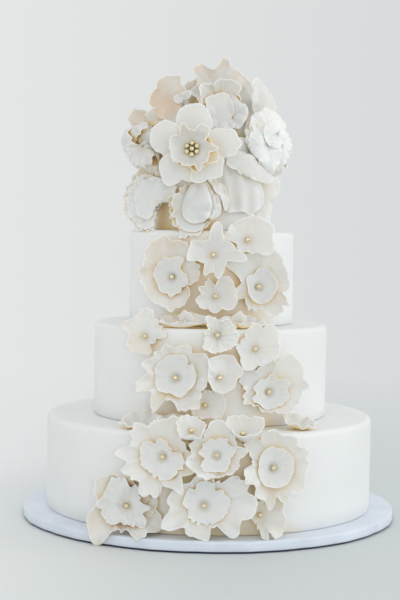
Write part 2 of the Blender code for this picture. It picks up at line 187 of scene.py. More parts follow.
class CakeStage(bpy.types.PropertyGroup):
    floor: bpy.props.FloatVectorProperty(
        name="Floor", description="Colour of the floor", subtype="COLOR",
        default=(0.67, 0.71, 0.715))
    # Painted light: the floor is lighter to the left.
    left: bpy.props.FloatVectorProperty(
        name="Floor's left", description="Colour of the floor further to the left", subtype="COLOR",
        default=(0.86, 0.88, 0.885))
    ambient: bpy.props.FloatProperty(
        name="Ambient", description="Brightness of the studio before the cake", default=0.865)
    key: bpy.props.FloatProperty(
        name="Key", description="Power of the large soft light at the front right",
        default=11.0, unit="POWER")
    front: bpy.props.FloatProperty(
        name="Front", description="Power of the small soft light beside the camera",
        default=3.6, unit="POWER")


SETTINGS = {
    "cake_tiers": CakeTiers,
    "cake_petals": CakePetals,
    "cake_beads": CakeBeads,
    "cake_board": CakeBoard,
    "cake_stage": CakeStage,
}


# ---------------------------------------------------------------- blossoms


class Petals(NamedTuple):
    """One ruffled disc, in millimetres and degrees: a bowl with lobes round its rim."""

    radius: float
    lobes: int = 7
    turn: float = 0.0
    notch: float = 0.08       # depth of the bays between the lobes, as a share of the radius
    flutter: float = 0.11     # how far the lobes fold back and the bays come forward
    curl: float = 46.0        # how far the bowl's side has turned up at its rim
    frill: float = 0.035      # height of the fine frill at the rim, as a share of the radius
    fine: float = 3.4         # how close together the fine frills are
    roll: float = 0.0         # how far the rim itself turns further forward
    crumple: float = 0.4      # height of the dents of the sheet
    pleats: float = 0.0       # height of the fine pleats from the throat, as a share of the radius
    folds: float = 0.0        # height of soft upright folds
    blush: float = 0.0
    place: tuple = (0.0, 0.0, 0.0)   # right, up and ahead of the blossom's throat
    rim: tuple = ()           # its outline, where that isn't even: right and up of the throat
    heart: float = 0.0        # how far towards the rim's white its middle already is


class Leaf(NamedTuple):
    """One single petal, in millimetres and degrees, grown from its foot in a fan."""

    place: tuple              # its foot: right, up and ahead of the blossom's throat
    turn: float               # the way it grows: 0 is to the right, 90 is up
    length: float
    spread: float             # half the angle of its fan
    tilt: float = 10.0        # how far it leans ahead at its foot
    bend: float = 0.0         # how much more it leans ahead at its tip
    roll: float = 0.0         # how far the rim itself turns further ahead
    cup: float = 0.2          # how far its sides come ahead of its middle, as a share of its length
    ruffle: float = 0.5       # height of the waves at its rim
    waves: float = 2.0
    point: float = 0.0        # how far its tip is drawn out, as a share of its length
    round: float = 2.4        # low for a narrow tip, high for a broad one
    jag: float = 0.035        # unevenness of its length round the rim
    frill: float = 0.006
    crumple: float = 0.5
    blush: float = 0.0


class Blossom(NamedTuple):
    """Where a blossom's throat sits, in degrees round from the front and millimetres."""

    name: str
    azimuth: float
    height: float
    out: float
    facing: float
    pitch: float
    sheets: tuple
    gold: float = 1.0         # how strong the painted golden shade in its crevices is; below 1 it also takes painted light as paler petals


def on_wall(name, level, azimuth, height, *sheets):
    """A blossom on the wall of a tier, turned most of the way to the front."""
    out = tier_radius(level) / MM + WALL_SEAT
    return Blossom(name, azimuth, height, out, FRONTWARD * azimuth, WALL_PITCH, sheets, WALL_PAINTED_SHADE_AND_LIGHT[level - 1])


def on_ledge(name, level, azimuth, inset, pitch, *sheets):
    """A blossom on the top of a tier, at a distance in from its rim, looking up."""
    out = tier_radius(level) / MM - inset
    return Blossom(name, azimuth, tier_top(level) / MM + WALL_SEAT, out, azimuth, pitch, sheets)


def soft(radius, lobes, turn, **more):
    """The large back sheet of a blossom."""
    return Petals(radius, lobes, turn, **more)


def frill(radius, lobes, turn, **more):
    """The small sheet in the middle of a blossom."""
    return Petals(radius, lobes, turn, notch=0.05, flutter=0.08, **more)


def sheet(rim, **more):
    """A ruffled sheet with its own outline, given by its tips and bays, right and up of the throat."""
    radius = sum(math.hypot(*point) for point in rim) / len(rim)
    values = {"curl": 40, "flutter": 0.08, "frill": 0.05 + 1.3 / radius, "fine": radius / 6.2, "roll": 14,
              "crumple": 1.8, **more}
    return Petals(radius, rim=rim, **values)


def petal(middle, rim, **more):
    """A smooth petal with its own outline, its middle and outline right and up of the throat."""
    outline_here = tuple((right - middle[0], up - middle[1]) for right, up in rim)
    values = {"curl": -18, "flutter": 0.03, "frill": 0.02, "roll": 22, "crumple": 0.7, "place": middle,
              "heart": 0.4, **more}
    return sheet(outline_here, **values)


def crumpled(middle, rim, **more):
    """A rounded petal crumpled by hand."""
    values = {"curl": -40, "roll": 24, "frill": 0.1, "flutter": 0.1, "crumple": 3.6, "pleats": 0.008, "heart": 0.7}
    return petal(middle, rim, **{**values, **more})


def over_ball(middle, radius, turn, start, reach, spread, **more):
    """A petal that lies over a ball, from start degrees back of its front and on over it."""
    back, way = math.radians(start), math.radians(turn)
    foot = (middle[0] - radius * math.sin(back) * math.cos(way),
            middle[1] - radius * math.sin(back) * math.sin(way), middle[2] + radius * math.cos(back))
    arc = math.radians(reach)
    return Leaf(foot, turn, radius * arc, spread, start, -reach, cup=-arc / 4, **more)


def balled(middle, radius, turns, start, reach, spread, **more):
    """A closed blossom: petals laid over one ball, each a little larger than the last."""
    return tuple(over_ball(middle, radius + 0.9 * i, turn, start, reach, spread, **more)
                 for i, turn in enumerate(turns))


def upturned(across):
    """A small round lobe of a ledge ruffle that stands up at its front."""
    return Leaf((across, -9, 1), -90, 12, 70, 72, 26, cup=0.3, round=3.0, ruffle=0.3, crumple=0.2, frill=0.0)


# Discs that lie on the tiers' tops.
LEDGE = (
    on_ledge("ledge_ruffle_1", 1, -27, 26, 74, soft(20, 7, 20)),
    on_ledge("ledge_ruffle_2", 1, -13, 27, 76, soft(19, 7, 75)),
    on_ledge("ledge_ruffle_3", 1, 36, 24, 74, soft(18, 7, 140)),
    on_ledge("ledge_ruffle_4", 2, -16, 18.5, 70, sheet((
        (-23, 3), (-14, 12), (0, 14), (14, 12), (28, 12), (35, 4), (28, -6), (14, -10), (2, -9), (-12, -11),
        (-22, -5)), flutter=0.14), upturned(9)),
    on_ledge("ledge_ruffle_5", 2, 18, 18.5, 72, sheet((
        (-24, 4), (-14, 12), (0, 14), (12, 12), (20, 4), (22, -5), (12, -11), (0, -10), (-12, -10), (-23, -4)),
        flutter=0.14), upturned(-8)),
)

# The blossoms of the three lower tiers, from the board up.
CASCADE = (
    on_wall("bloom_20", 1, 16.6, 33, sheet((
        (26, -6), (24, 4), (24, 18), (10, 20), (0, 15), (-7, 9), (-12, 2), (-7, -6), (-1, -13), (2, -21), (6, -23),
        (10, -18), (15, -23), (23, -15)))),
    on_wall("bloom_18", 1, -26.6, 37.5, sheet((
        (-30, 20), (-26, 28), (-16, 31), (0, 31), (14, 28), (24, 20), (30, 12), (32, 0), (36, -9), (35, -19),
        (25, -26), (16, -32), (9, -29), (3, -24), (-12, -25), (-18, -32), (-25, -35), (-32, -31), (-36, -22),
        (-37, -11), (-33, -3), (-30, 5), (-31, 13)), blush=0.6, flutter=0.11), sheet((
        (4, 26), (12, 20), (24, 9), (21, 3), (27, -4), (22, -12), (10, -21), (0, -12), (-8, 0), (-4, 14)),
        blush=3.0, frill=0.03), sheet((
        (-20, 18), (-15, 25), (-6, 29), (1, 26), (5, 20), (11, 20), (14, 14), (16, 8), (18, 3), (24, -1), (20, -7),
        (22, -14), (18, -20), (11, -18), (3, -18), (-6, -18), (-16, -18), (-24, -10), (-27, -1), (-24, 10)),
        flutter=0.1)),
    on_wall("bloom_19", 1, -1.2, 42.5, sheet((
        (-32, 11), (-25, 19), (-15, 24), (-9, 30), (0, 34), (7, 34), (12, 29), (19, 27), (28, 31), (37, 29), (42, 23),
        (43, 16), (50, 9), (50, -1), (46, -10), (40, -15), (36, -23), (30, -29), (23, -28), (17, -23), (9, -23),
        (4, -31), (-10, -29), (-17, -26), (-20, -21), (-33, -22), (-37, -16), (-34, -4), (-35, 5)),
        flutter=0.1), sheet((
        (-20, 1), (-19, 10), (-15, 16), (-9, 17), (-7, 22), (4, 24), (10, 22), (12, 17), (19, 15), (23, 5), (23, -5),
        (18, -13), (10, -17), (1, -16), (-8, -17), (-14, -12), (-18, -6)), curl=34)),
    on_wall("bloom_17", 1, 21, 79, sheet((
        (-32, 27), (-24, 30), (-14, 35), (-2, 39), (10, 35), (22, 30), (25, 22), (31, 16), (34, 6), (32, -6), (30, -17),
        (23, -25), (16, -29), (10, -35), (3, -33), (-4, -39), (-9, -33), (-18, -28), (-21, -18), (-29, -10),
        (-30, -2), (-24, 4), (-26, 14)), flutter=0.1), sheet((
        (-16, 0), (-15, -11), (-9, -18), (0, -20), (10, -18), (17, -11), (20, 1), (18, 13), (11, 19), (3, 21), (-7, 20),
        (-13, 13)), frill=0.03, flutter=0.02, pleats=0.01, curl=50)),
    on_wall("bloom_15", 1, -14.5, 89, sheet((
        (-30, 26), (-26, 32), (-15, 32), (-1, 37), (14, 39), (22, 33), (21, 24), (23, 17), (26, 8), (30, 4), (28, -4),
        (28, -10), (31, -13), (27, -18), (22, -22), (20, -32), (11, -33), (2, -31), (-3, -40), (-10, -38),
        (-20, -37), (-24, -28), (-33, -22), (-40, -15), (-39, -6), (-42, 2), (-40, 9), (-34, 12), (-32, 20)),
        flutter=0.1), sheet((
        (-20, 13), (-14, 15), (-8, 15), (-4, 17), (2, 16), (7, 11), (11, 7), (15, 5), (19, 5), (21, -2), (21, -10),
        (15, -17), (7, -22), (0, -23), (-9, -20), (-16, -15), (-21, -8), (-23, 2), (-22, 9)), flutter=0.1)),
    on_wall("bloom_16", 1, 2.6, 92.5, sheet((
        (-27, 8), (-22, 15), (-15, 19), (-11, 26), (-7, 33), (0, 35), (7, 34), (12, 27), (19, 20), (23, 11), (28, 4),
        (25, -3), (24, -10), (18, -17), (8, -19), (-3, -22), (-11, -24), (-18, -21), (-22, -16), (-27, -11),
        (-30, -7), (-27, 0)), flutter=0.1), sheet((
        (-13, 10), (-9, 14), (-3, 16), (3, 18), (9, 17), (13, 12), (17, 6), (15, 0), (14, -8), (9, -15), (0, -17),
        (-9, -16), (-14, -10), (-14, -3), (-17, 4)), flutter=0.1, curl=48)),
    on_wall("bloom_12", 2, -1.9, 135, sheet((
        (-15, -3), (-13, -9), (-8, -13), (0, -14), (10, -13), (18, -11), (21, -3), (22, 5), (19, 12), (10, 15),
        (0, 15), (-8, 12), (-12, 3)), flutter=0.04)),
    on_wall("bloom_09", 2, -15.6, 162, sheet((
        (-34, 13), (-28, 19), (-22, 24), (-17, 29), (-11, 33), (2, 33), (12, 35), (22, 29), (32, 23), (36, 14), (36, 4),
        (32, -5), (29, -12), (28, -19), (22, -28), (15, -34), (6, -35), (0, -30), (-8, -26), (-14, -29), (-20, -34),
        (-24, -25), (-23, -17), (-30, -15), (-38, -14), (-39, -7), (-35, 0), (-31, 6)), flutter=0.1), sheet((
        (-20, 1), (-20, 9), (-15, 17), (-8, 22), (1, 23), (10, 22), (13, 18), (13, 14), (18, 14), (21, 7), (22, -1),
        (19, -9), (14, -14), (7, -19), (0, -18), (-5, -16), (-10, -16), (-18, -12)), curl=36, frill=0.02)),
    on_wall("bloom_11", 2, 28, 148, sheet((
        (-32, 10), (-28, 18), (-24, 22), (-15, 24), (-12, 29), (-6, 34), (2, 36), (9, 34), (16, 38), (24, 38), (32, 32),
        (37, 24), (37, 14), (40, 6), (35, 0), (33, -8), (30, -14), (26, -20), (15, -23), (5, -20), (-5, -20),
        (-14, -15), (-21, -13), (-28, -10), (-26, -2), (-28, 5)), flutter=0.09), sheet((
        (-16, 5), (-12, 10), (-7, 13), (-2, 15), (3, 18), (9, 14), (15, 13), (21, 10), (20, 2), (20, -6), (14, -12),
        (5, -17), (-3, -18), (-11, -14), (-17, -8), (-14, -2)), frill=0.05)),
    on_wall("bloom_10", 2, 4.4, 163, sheet((
        (-11, 20), (-4, 23), (5, 25), (13, 23), (19, 16), (24, 6), (18, -2), (14, -11), (7, -16), (-1, -16), (-7, -12),
        (-10, -6), (-12, 0), (-12, 10)), frill=0.01, flutter=0.06)),
    on_wall("bloom_06", 2, -31.4, 203, sheet((
        (-10, 21), (-5, 26), (2, 28), (8, 26), (11, 20), (15, 17), (17, 12), (21, 6), (21, -2), (14, -3), (7, -10),
        (8, -17), (1, -20), (-8, -19), (-13, -17), (-17, -12), (-18, -4), (-18, 2), (-22, 7), (-22, 12), (-18, 17)),
        blush=0.5)),
    on_wall("bloom_07", 2, 3.2, 206.5, sheet((
        (-8, 16), (-2, 16), (5, 17), (10, 16), (16, 10), (20, 2), (20, -8), (15, -14), (5, -18), (-3, -19), (-10, -17),
        (-15, -14), (-15, -8), (-13, -2), (-13, 3), (-10, 9)), pleats=0.024, curl=50, frill=0.11)),
    on_wall("bloom_08", 2, 20.9, 192.5, sheet((
        (-20, 0), (-15, 8), (-12, 12), (-10, 18), (-5, 23), (2, 25), (7, 21), (10, 23), (17, 24), (22, 18), (24, 9),
        (26, 2), (24, -6), (20, -11), (10, -17), (2, -20), (-2, -23), (-9, -24), (-15, -18), (-16, -10)),
        pleats=0.008, frill=0.04)),
    Blossom("bloom_13", -5.2, 112, 184, -3, 58, (sheet((
        (-15, 2), (-10, 12), (0, 15), (10, 12), (15, 4), (14, -6), (9, -13), (0, -15), (-9, -13), (-14, -6)),
        curl=64, frill=0.08, flutter=0.14),)),
    Blossom("bloom_14", 10.5, 112.5, 182, 6, 62, (sheet((
        (-19, 3), (-13, 13), (-2, 17), (10, 15), (20, 9), (21, 0), (14, -11), (4, -17), (-6, -17), (-15, -9)),
        curl=64, frill=0.08, flutter=0.14),)),
    on_wall("bloom_02", 3, -26.5, 263, sheet((
        (-26, 31), (-22, 37), (-14, 39), (-7, 42), (0, 38), (8, 39), (15, 38), (19, 31), (20, 23), (26, 16), (32, 6),
        (33, 1), (24, -6), (21, -13), (22, -23), (18, -29), (14, -33), (7, -34), (0, -38), (-6, -34), (-14, -30),
        (-24, -21), (-30, -12), (-33, -3), (-33, 8), (-29, 18), (-30, 25)), flutter=0.06, blush=0.9), sheet((
        (-19, 3), (-16, 13), (-11, 20), (-4, 21), (5, 21), (12, 18), (10, 10), (13, 5), (17, 0), (16, -7), (12, -14),
        (5, -19), (0, -21), (-6, -18), (-14, -13), (-18, -5)), flutter=0.1)),
    on_wall("bloom_04", 3, 32.6, 254, sheet((
        (-36, 19), (-29, 25), (-23, 29), (-12, 34), (0, 36), (9, 34), (17, 36), (24, 27), (30, 16), (32, 4), (30, -11),
        (28, -20), (20, -30), (9, -31), (3, -27), (-4, -27), (-10, -24), (-17, -17), (-26, -12), (-26, -6), (-21, 3),
        (-27, 13)), flutter=0.06), sheet((
        (-12, 10), (-12, -2), (-10, -11), (-6, -16), (1, -19), (9, -17), (15, -11), (20, -2), (19, 8), (14, 15),
        (7, 19), (-1, 18), (-5, 14)), frill=0.03, flutter=0.04)),
    on_wall("bloom_05", 3, 2.8, 244, sheet((
        (-13, 12), (-8, 18), (-1, 13), (5, 20), (15, 19), (21, 11), (23, 2), (22, -8), (16, -15), (7, -17), (-1, -19),
        (-9, -16), (-17, -13), (-20, -6), (-18, 2), (-19, 8)), flutter=0.13, frill=0.08)),
    on_wall("bloom_03", 3, 24, 303, sheet((
        (28, 0), (26, -12), (20, -17), (9, -16), (-1, -15), (-8, -14), (-12, -9), (-15, -5), (-21, -2), (-25, 6),
        (-20, 14), (-8, 20), (5, 22), (18, 20), (27, 12)), frill=0.12, flutter=0.12)),
    on_wall("bloom_01", 3, 1.2, 287, sheet((
        (4, 31), (10, 22), (13, 17), (19, 13), (25, 7), (34, -6), (26, -8), (18, -10), (15, -14), (11, -20), (5, -24),
        (0, -20), (-4, -20), (-9, -21), (-10, -16), (-11, -11), (-18, -8), (-26, -6), (-27, 2), (-24, 13), (-14, 14),
        (-6, 16), (-3, 24)), flutter=0.13, frill=0.015, crumple=0.5)),
)

# Round and on the top tier, from the back to the front.
CROWN = (
    Blossom("crown_back_left", -126, 397, 66, -126, 12, (soft(33, 7, 10), frill(19, 6, 35))),
    Blossom("crown_back", -176, 396, 66, -176, 12, (soft(33, 7, 42), frill(19, 6, 8))),
    Blossom("crown_back_right", 134, 397, 66, 134, 12, (soft(32, 7, 25), frill(19, 6, 60))),
    Blossom("crown_side_right", 88, 403, 66, 88, 12, (soft(24, 7, 5), frill(15, 6, 20))),
    Blossom("crown_cup_lower_left", -45, 341, 66.5, -36, 3, (
        petal((-26, 3, 2), ((-38, 34), (-46, 22), (-54, 10), (-54, 0), (-54, -9), (-46, -18), (-38, -27), (-24, -32),
            (-10, -31), (-7, -22), (-6, -10), (0, 6), (2, 20), (-10, 34), (-24, 38)), curl=20, frill=0.1, fine=6,
            crumple=1.6, blush=0.5),
        petal((-22, 2, 7), ((-34, 28), (-42, 19), (-49, 9), (-49, -1), (-48, -9), (-40, -18), (-32, -25), (-20, -28),
            (-9, -27), (-6, -18), (-6, -8), (0, 6), (1, 18), (-10, 27), (-20, 29)), curl=-30, roll=46, frill=0.09,
            fine=6, crumple=2.4, heart=0.6),
        petal((-15, 6, 13), ((-38, 9), (-37, -5), (-30, -15), (-20, -18), (-10, -16), (-8, -8), (-2, 0), (10, 2),
            (15, 14), (6, 21), (-4, 25), (-18, 26), (-30, 19)), curl=-34, roll=30, frill=0.07, crumple=2.2,
            heart=0.6)), 0.85),
    Blossom("crown_bud", -11, 340, 66, -9, 4, (
        petal((-6, -6, 0), ((-24, 14), (-31, 4), (-32, -5), (-30, -15), (-24, -26), (-16, -34), (-5, -37), (5, -35),
            (11, -27), (17, -17), (20, -4), (16, 10), (4, 18), (-12, 20)), curl=34, frill=0.12, fine=6, crumple=1.2),
        petal((-5, -5, 3), ((-22, 14), (-28, 4), (-28, -5), (-26, -14), (-21, -23), (-14, -30), (-5, -32), (4, -30),
            (10, -24), (15, -15), (19, -4), (16, 10), (4, 18), (-12, 20)), curl=38, frill=0.13, fine=6, crumple=1.2),
        petal((14, 2, 8), ((4, 26), (11, 20), (18, 11), (23, 1), (24, -7), (21, -13), (14, -17), (8, -8), (6, 6)),
            curl=-24),
        petal((12, 2, 11), ((3, 26), (9, 21), (15, 11), (19, 2), (20, -6), (18, -12), (12, -16), (6, -8), (5, 6)),
            curl=-24),
        petal((-2, 1, 13), ((1, 25), (-6, 20), (-12, 13), (-16, 4), (-18, -4), (-17, -12), (-12, -19), (-4, -22),
            (5, -21), (12, -16), (15, -8), (16, 0), (13, 9), (8, 18)), curl=-52, roll=0, frill=0.0, crumple=0.3,
            heart=0.75))),
    Blossom("crown_fold_lower_right", 26, 355, 66, 12, 2, (
        petal((28, -5, -2), ((20, 14), (32, 13), (41, 15), (43, 0), (35, -9), (34, -24), (26, -31), (18, -24),
            (16, -5)), curl=-12, crumple=1.4, frill=0.05),
        petal((0, 2, 4), ((-33, 14), (-30, 4), (-18, -8), (-16, -13), (-20, -22), (-8, -23), (3, -22), (10, -26),
            (18, -21), (24, -15), (25, -4), (22, 7), (16, 14), (3, 20), (-5, 25), (-16, 27), (-26, 22)), curl=-14,
            folds=1.4, crumple=0.8, frill=0.04),
        petal((-24, -2, 8), ((-34, 15), (-27, 7), (-19, -3), (-15, -12), (-19, -23), (-22, -14), (-26, -6), (-33, 3),
            (-37, 10)), curl=20),
        petal((5, 27, 8), ((-17, 30), (-12, 36), (-6, 40), (5, 38), (16, 30), (26, 20), (36, 13), (30, 8), (20, 9),
            (5, 15), (-5, 21), (-15, 24)), curl=-14, roll=20, crumple=1.2, frill=0.05)), 0.85),
    Blossom("crown_cup_left", -76, 402, 66, -40, 6, (
        Leaf((-8, 11, 0), 112, 34, 44, 20, 16, ruffle=3.2, waves=3, point=0.1, blush=0.9),
        Leaf((8, 11, 2), 76, 32, 42, 16, 12, ruffle=2.5, waves=3, blush=0.3),
        Petals(24, 7, 0, 0.1, 0.16, 66, frill=0.07, crumple=1.4, place=(2, 1, 0)),
        *balled((2, 3, 6), 17, (90, 200, 320, 30), 105, 104, 60, ruffle=2.4, waves=6, frill=0.03, roll=35,
            crumple=2.0),
        Leaf((12, -4, 11), -98, 24, 70, 20, -10, ruffle=3.2, waves=6, frill=0.02))),
    Blossom("crown_top_back", 176, 444, 31, 176, 42, (soft(35, 7, 15), frill(20, 6, 30))),
    Blossom("crown_top_left", -104, 448, 30, -104, 44, (soft(30, 7, 20),)),
    Blossom("crown_top_right", 96, 452, 27, 96, 46, (soft(28, 7, 45),)),
    Blossom("crown_top_sheet", 20, 451, 12, 6, 10, (
        petal((3, 8, 0), ((-28, 36), (-23, 40), (-18, 42), (-13, 38), (-7, 37), (-2, 40), (2, 44), (6, 48), (10, 47),
            (13, 40), (18, 36), (25, 29), (32, 22), (37, 12), (37, 0), (39, -15), (30, -24), (15, -26), (0, -24),
            (-15, -20), (-22, -8), (-26, 2), (-29, 10), (-26, 20), (-27, 29)), curl=28, flutter=0.07, frill=0.03,
            crumple=2.4, heart=0.2, blush=1.2),)),
    Blossom("crown_petal_left", -50, 446, 52, -12, 6, (
        petal((-10, 8, 0), ((-28, 6), (-27, 11), (-21, 17), (-21, 25), (-13, 31), (-4, 32), (4, 31), (7, 22),
            (12, 15), (10, 8), (7, -2), (6, -10), (2, -20), (-11, -18), (-19, -14), (-23, -5), (-28, 0)), curl=30,
            flutter=0.05, crumple=1.4, heart=0.0, blush=1.5),
        petal((7, 8, 6), ((-2, 7), (5, 10), (11, 13), (16, 15), (17, 10), (10, 4), (-1, 3)), curl=-10, frill=0.0,
            crumple=0.3))),
    Blossom("crown_petal_right", 64, 450, 57, 24, 8, (
        petal((1, 8, 0), ((-10, 21), (-4, 28), (4, 20), (11, 12), (16, 3), (18, -4), (11, -12), (-6, -12), (-12, 3),
            (-10, 12)), curl=-14, frill=0.04, crumple=1.2),)),
    Blossom("crown_cup_top", 10, 438, 47, 5, 8, (
        petal((0, 8, -3), ((-23, 28), (-15, 29), (-10, 30), (-6, 34), (-1, 35), (7, 35), (15, 33), (21, 27), (18, 18),
            (21, 7), (27, 2), (25, -9), (15, -20), (4, -20), (-8, -18), (-17, -4), (-23, 9), (-24, 20)), curl=44,
            pleats=0.02, frill=0.05, crumple=1.4),
        petal((17, 0, 5), ((5, 18), (14, 16), (19, 8), (27, 2), (25, -8), (15, -19), (8, -12), (6, 2)), curl=-20,
            crumple=2.0, frill=0.08),
        petal((-2, 0, 7), ((-17, 13), (-8, 17), (4, 19), (9, 12), (12, 2), (10, -8), (13, -17), (2, -20), (-11, -19),
            (-15, -6), (-17, 6)), curl=-16, roll=35, frill=0.03, crumple=0.8))),
    Blossom("crown_ball_right", 44, 402, 66.5, 26, 4, (
        petal((13, 5, 0), ((-15, 12), (-8, 26), (2, 37), (14, 43), (25, 43), (34, 38), (41, 25), (44, 9), (40, -7),
            (31, -22), (18, -29), (4, -25), (-9, -13)), curl=-36, roll=0, frill=0.07, crumple=3.0, pleats=0.012,
            heart=0.7),
        crumpled((13, 10, 6), ((-10, 20), (-5, 29), (4, 37), (14, 36), (22, 33), (32, 30), (38, 22), (40, 10),
            (36, -4), (26, -10), (14, -12), (2, -8), (-8, 4)), curl=-44, roll=26),
        crumpled((24, 0, 9), ((12, 20), (22, 22), (32, 18), (38, 8), (38, -5), (31, -17), (22, -24), (12, -24),
            (6, -14), (7, 2))),
        crumpled((5, 0, 12), ((-12, 10), (-6, 20), (3, 24), (12, 19), (18, 8), (22, -4), (22, -18), (14, -26),
            (2, -22), (-9, -10))),
        crumpled((15, 12, 15), ((2, 16), (8, 25), (17, 26), (25, 19), (28, 9), (22, 1), (12, -3), (3, 3)), curl=-36,
            roll=20)), 0.5),
    Blossom("crown_hero", -11, 396.5, 84, -6, 6, (
        petal((-5, 30, 0), ((-23, 36), (-20, 42), (-15, 46), (-6, 48), (2, 48), (8, 42), (12, 35), (14, 24), (8, 12),
            (-6, 6), (-18, 14), (-23, 26))),
        petal((-34, 10, 1), ((-50, 15), (-48, 22), (-42, 27), (-36, 30), (-24, 26), (-14, 14), (-14, 2), (-22, -6),
            (-31, -8), (-40, -4), (-46, 0), (-50, 7))),
        petal((24, 6, 1), ((12, 18), (17, 21), (28, 21), (38, 20), (40, 17), (42, 12), (46, 6), (42, 0), (39, -5),
            (30, -8), (22, -11), (10, -6), (6, 6))),
        petal((-22, -20, 3), ((-39, -15), (-39, -22), (-37, -28), (-32, -38), (-28, -39), (-24, -38), (-15, -32),
            (-6, -34), (-2, -28), (-4, -14), (-12, -6), (-24, -4), (-34, -8))),
        petal((10, -18, 4), ((24, -8), (28, -12), (27, -20), (26, -29), (20, -31), (13, -32), (0, -36), (-5, -34),
            (-6, -26), (-2, -14), (6, -6), (16, -4)), curl=-12),
        sheet(((-20, -2), (-20, -10), (-13, -18), (-4, -19), (6, -25), (13, -22), (19, -18), (26, -12), (26, -2),
            (22, 8), (14, 18), (0, 20), (-12, 20), (-18, 12)), place=(-5, -1, 0), curl=42, frill=0.07),
        sheet(((-23, 8), (-16, 15), (-9, 25), (-3, 22), (3, 21), (11, 25), (18, 21), (20, 15), (19, 8), (23, 3),
            (27, -1), (24, -7), (22, -13), (17, -19), (10, -24), (4, -20), (-3, -20), (-10, -18), (-18, -14),
            (-22, -6), (-23, 2)), place=(-5, -1, 1), curl=56, frill=0.05, flutter=0.12, crumple=0.8))),
)


# ---------------------------------------------------------------- node materials


def tinted(colour, *tints):
    """A colour times one tint, or times one for each of its parts."""
    return tuple(part * tint for part, tint in zip(colour, tints * (3 // len(tints))))


class Nodes:
    """A small helper that adds nodes to one node tree."""

    def __init__(self, tree):
        self.tree = tree

    def add(self, kind, **values):
        node = self.tree.nodes.new(kind)
        for name, value in values.items():
            if name in node.inputs:
                node.inputs[name].default_value = value
            else:
                setattr(node, name, value)
        return node

    def link(self, source, target):
        self.tree.links.new(source, target)

    def ramp(self, value, *stops):
        node = self.add("ShaderNodeValToRGB")
        ramp = node.color_ramp
        while len(ramp.elements) < len(stops):
            ramp.elements.new(0.5)
        for element, (position, colour) in zip(ramp.elements, stops):
            element.position = position
            element.color = (*colour, 1.0)
        self.link(value, node.inputs["Fac"])
        return node.outputs["Color"]

    def between(self, factor, one, other):
        """A mix of two colours, each a value or a socket."""
        node = self.add("ShaderNodeMix", data_type="RGBA")
        self.link(factor, node.inputs["Factor"])
        for value, socket in ((one, node.inputs[6]), (other, node.inputs[7])):
            if isinstance(value, bpy.types.NodeSocket):
                self.link(value, socket)
            else:
                socket.default_value = (*value, 1.0)
        return node.outputs[2]

    def scaled(self, value, low, high, to_low=0.0, to_high=1.0):
        """A value carried from one range to another, held within it."""
        node = self.add("ShaderNodeMapRange")
        for name, number in (("From Min", low), ("From Max", high), ("To Min", to_low), ("To Max", to_high)):
            node.inputs[name].default_value = number
        self.link(value, node.inputs["Value"])
        return node.outputs["Result"]

    def times(self, one, other):
        return self.joined("MULTIPLY", one, other)

    def joined(self, operation, one, other):
        """What an operation makes of a socket and a value or a socket."""
        node = self.add("ShaderNodeMath", operation=operation)
        self.link(one, node.inputs[0])
        if isinstance(other, bpy.types.NodeSocket):
            self.link(other, node.inputs[1])
        else:
            node.inputs[1].default_value = other
        return node.outputs[0]


class Finish(Nodes):
    """The nodes of one material."""

    def __init__(self, name):
        self.material = bpy.data.materials.new(name)
        self.material.use_nodes = True
        super().__init__(self.material.node_tree)
        self.shader = self.tree.nodes["Principled BSDF"]
        self.place = self.add("ShaderNodeTexCoord").outputs["Object"]

    def colour(self, socket):
        self.link(socket, self.shader.inputs["Base Color"])

    def attribute(self, name):
        """A number that the mesh carries at each corner."""
        return self.add("ShaderNodeAttribute", attribute_name=name).outputs["Fac"]

    def noise(self, scale, detail=3.0):
        node = self.add("ShaderNodeTexNoise", Scale=scale, Detail=detail)
        self.link(self.place, node.inputs["Vector"])
        return node.outputs["Fac"]

    def bump(self, height, distance, strength=1.0):
        node = self.add("ShaderNodeBump", Distance=distance, Strength=strength)
        self.link(height, node.inputs["Height"])
        self.link(node.outputs["Normal"], self.shader.inputs["Normal"])

    def shelter(self, distance):
        """1 in the open, 0 deep in a crevice."""
        node = self.add("ShaderNodeAmbientOcclusion", samples=8, Distance=distance)
        return node.outputs["AO"]

    def set(self, **values):
        for name, value in values.items():
            self.shader.inputs[name.replace("_", " ")].default_value = value


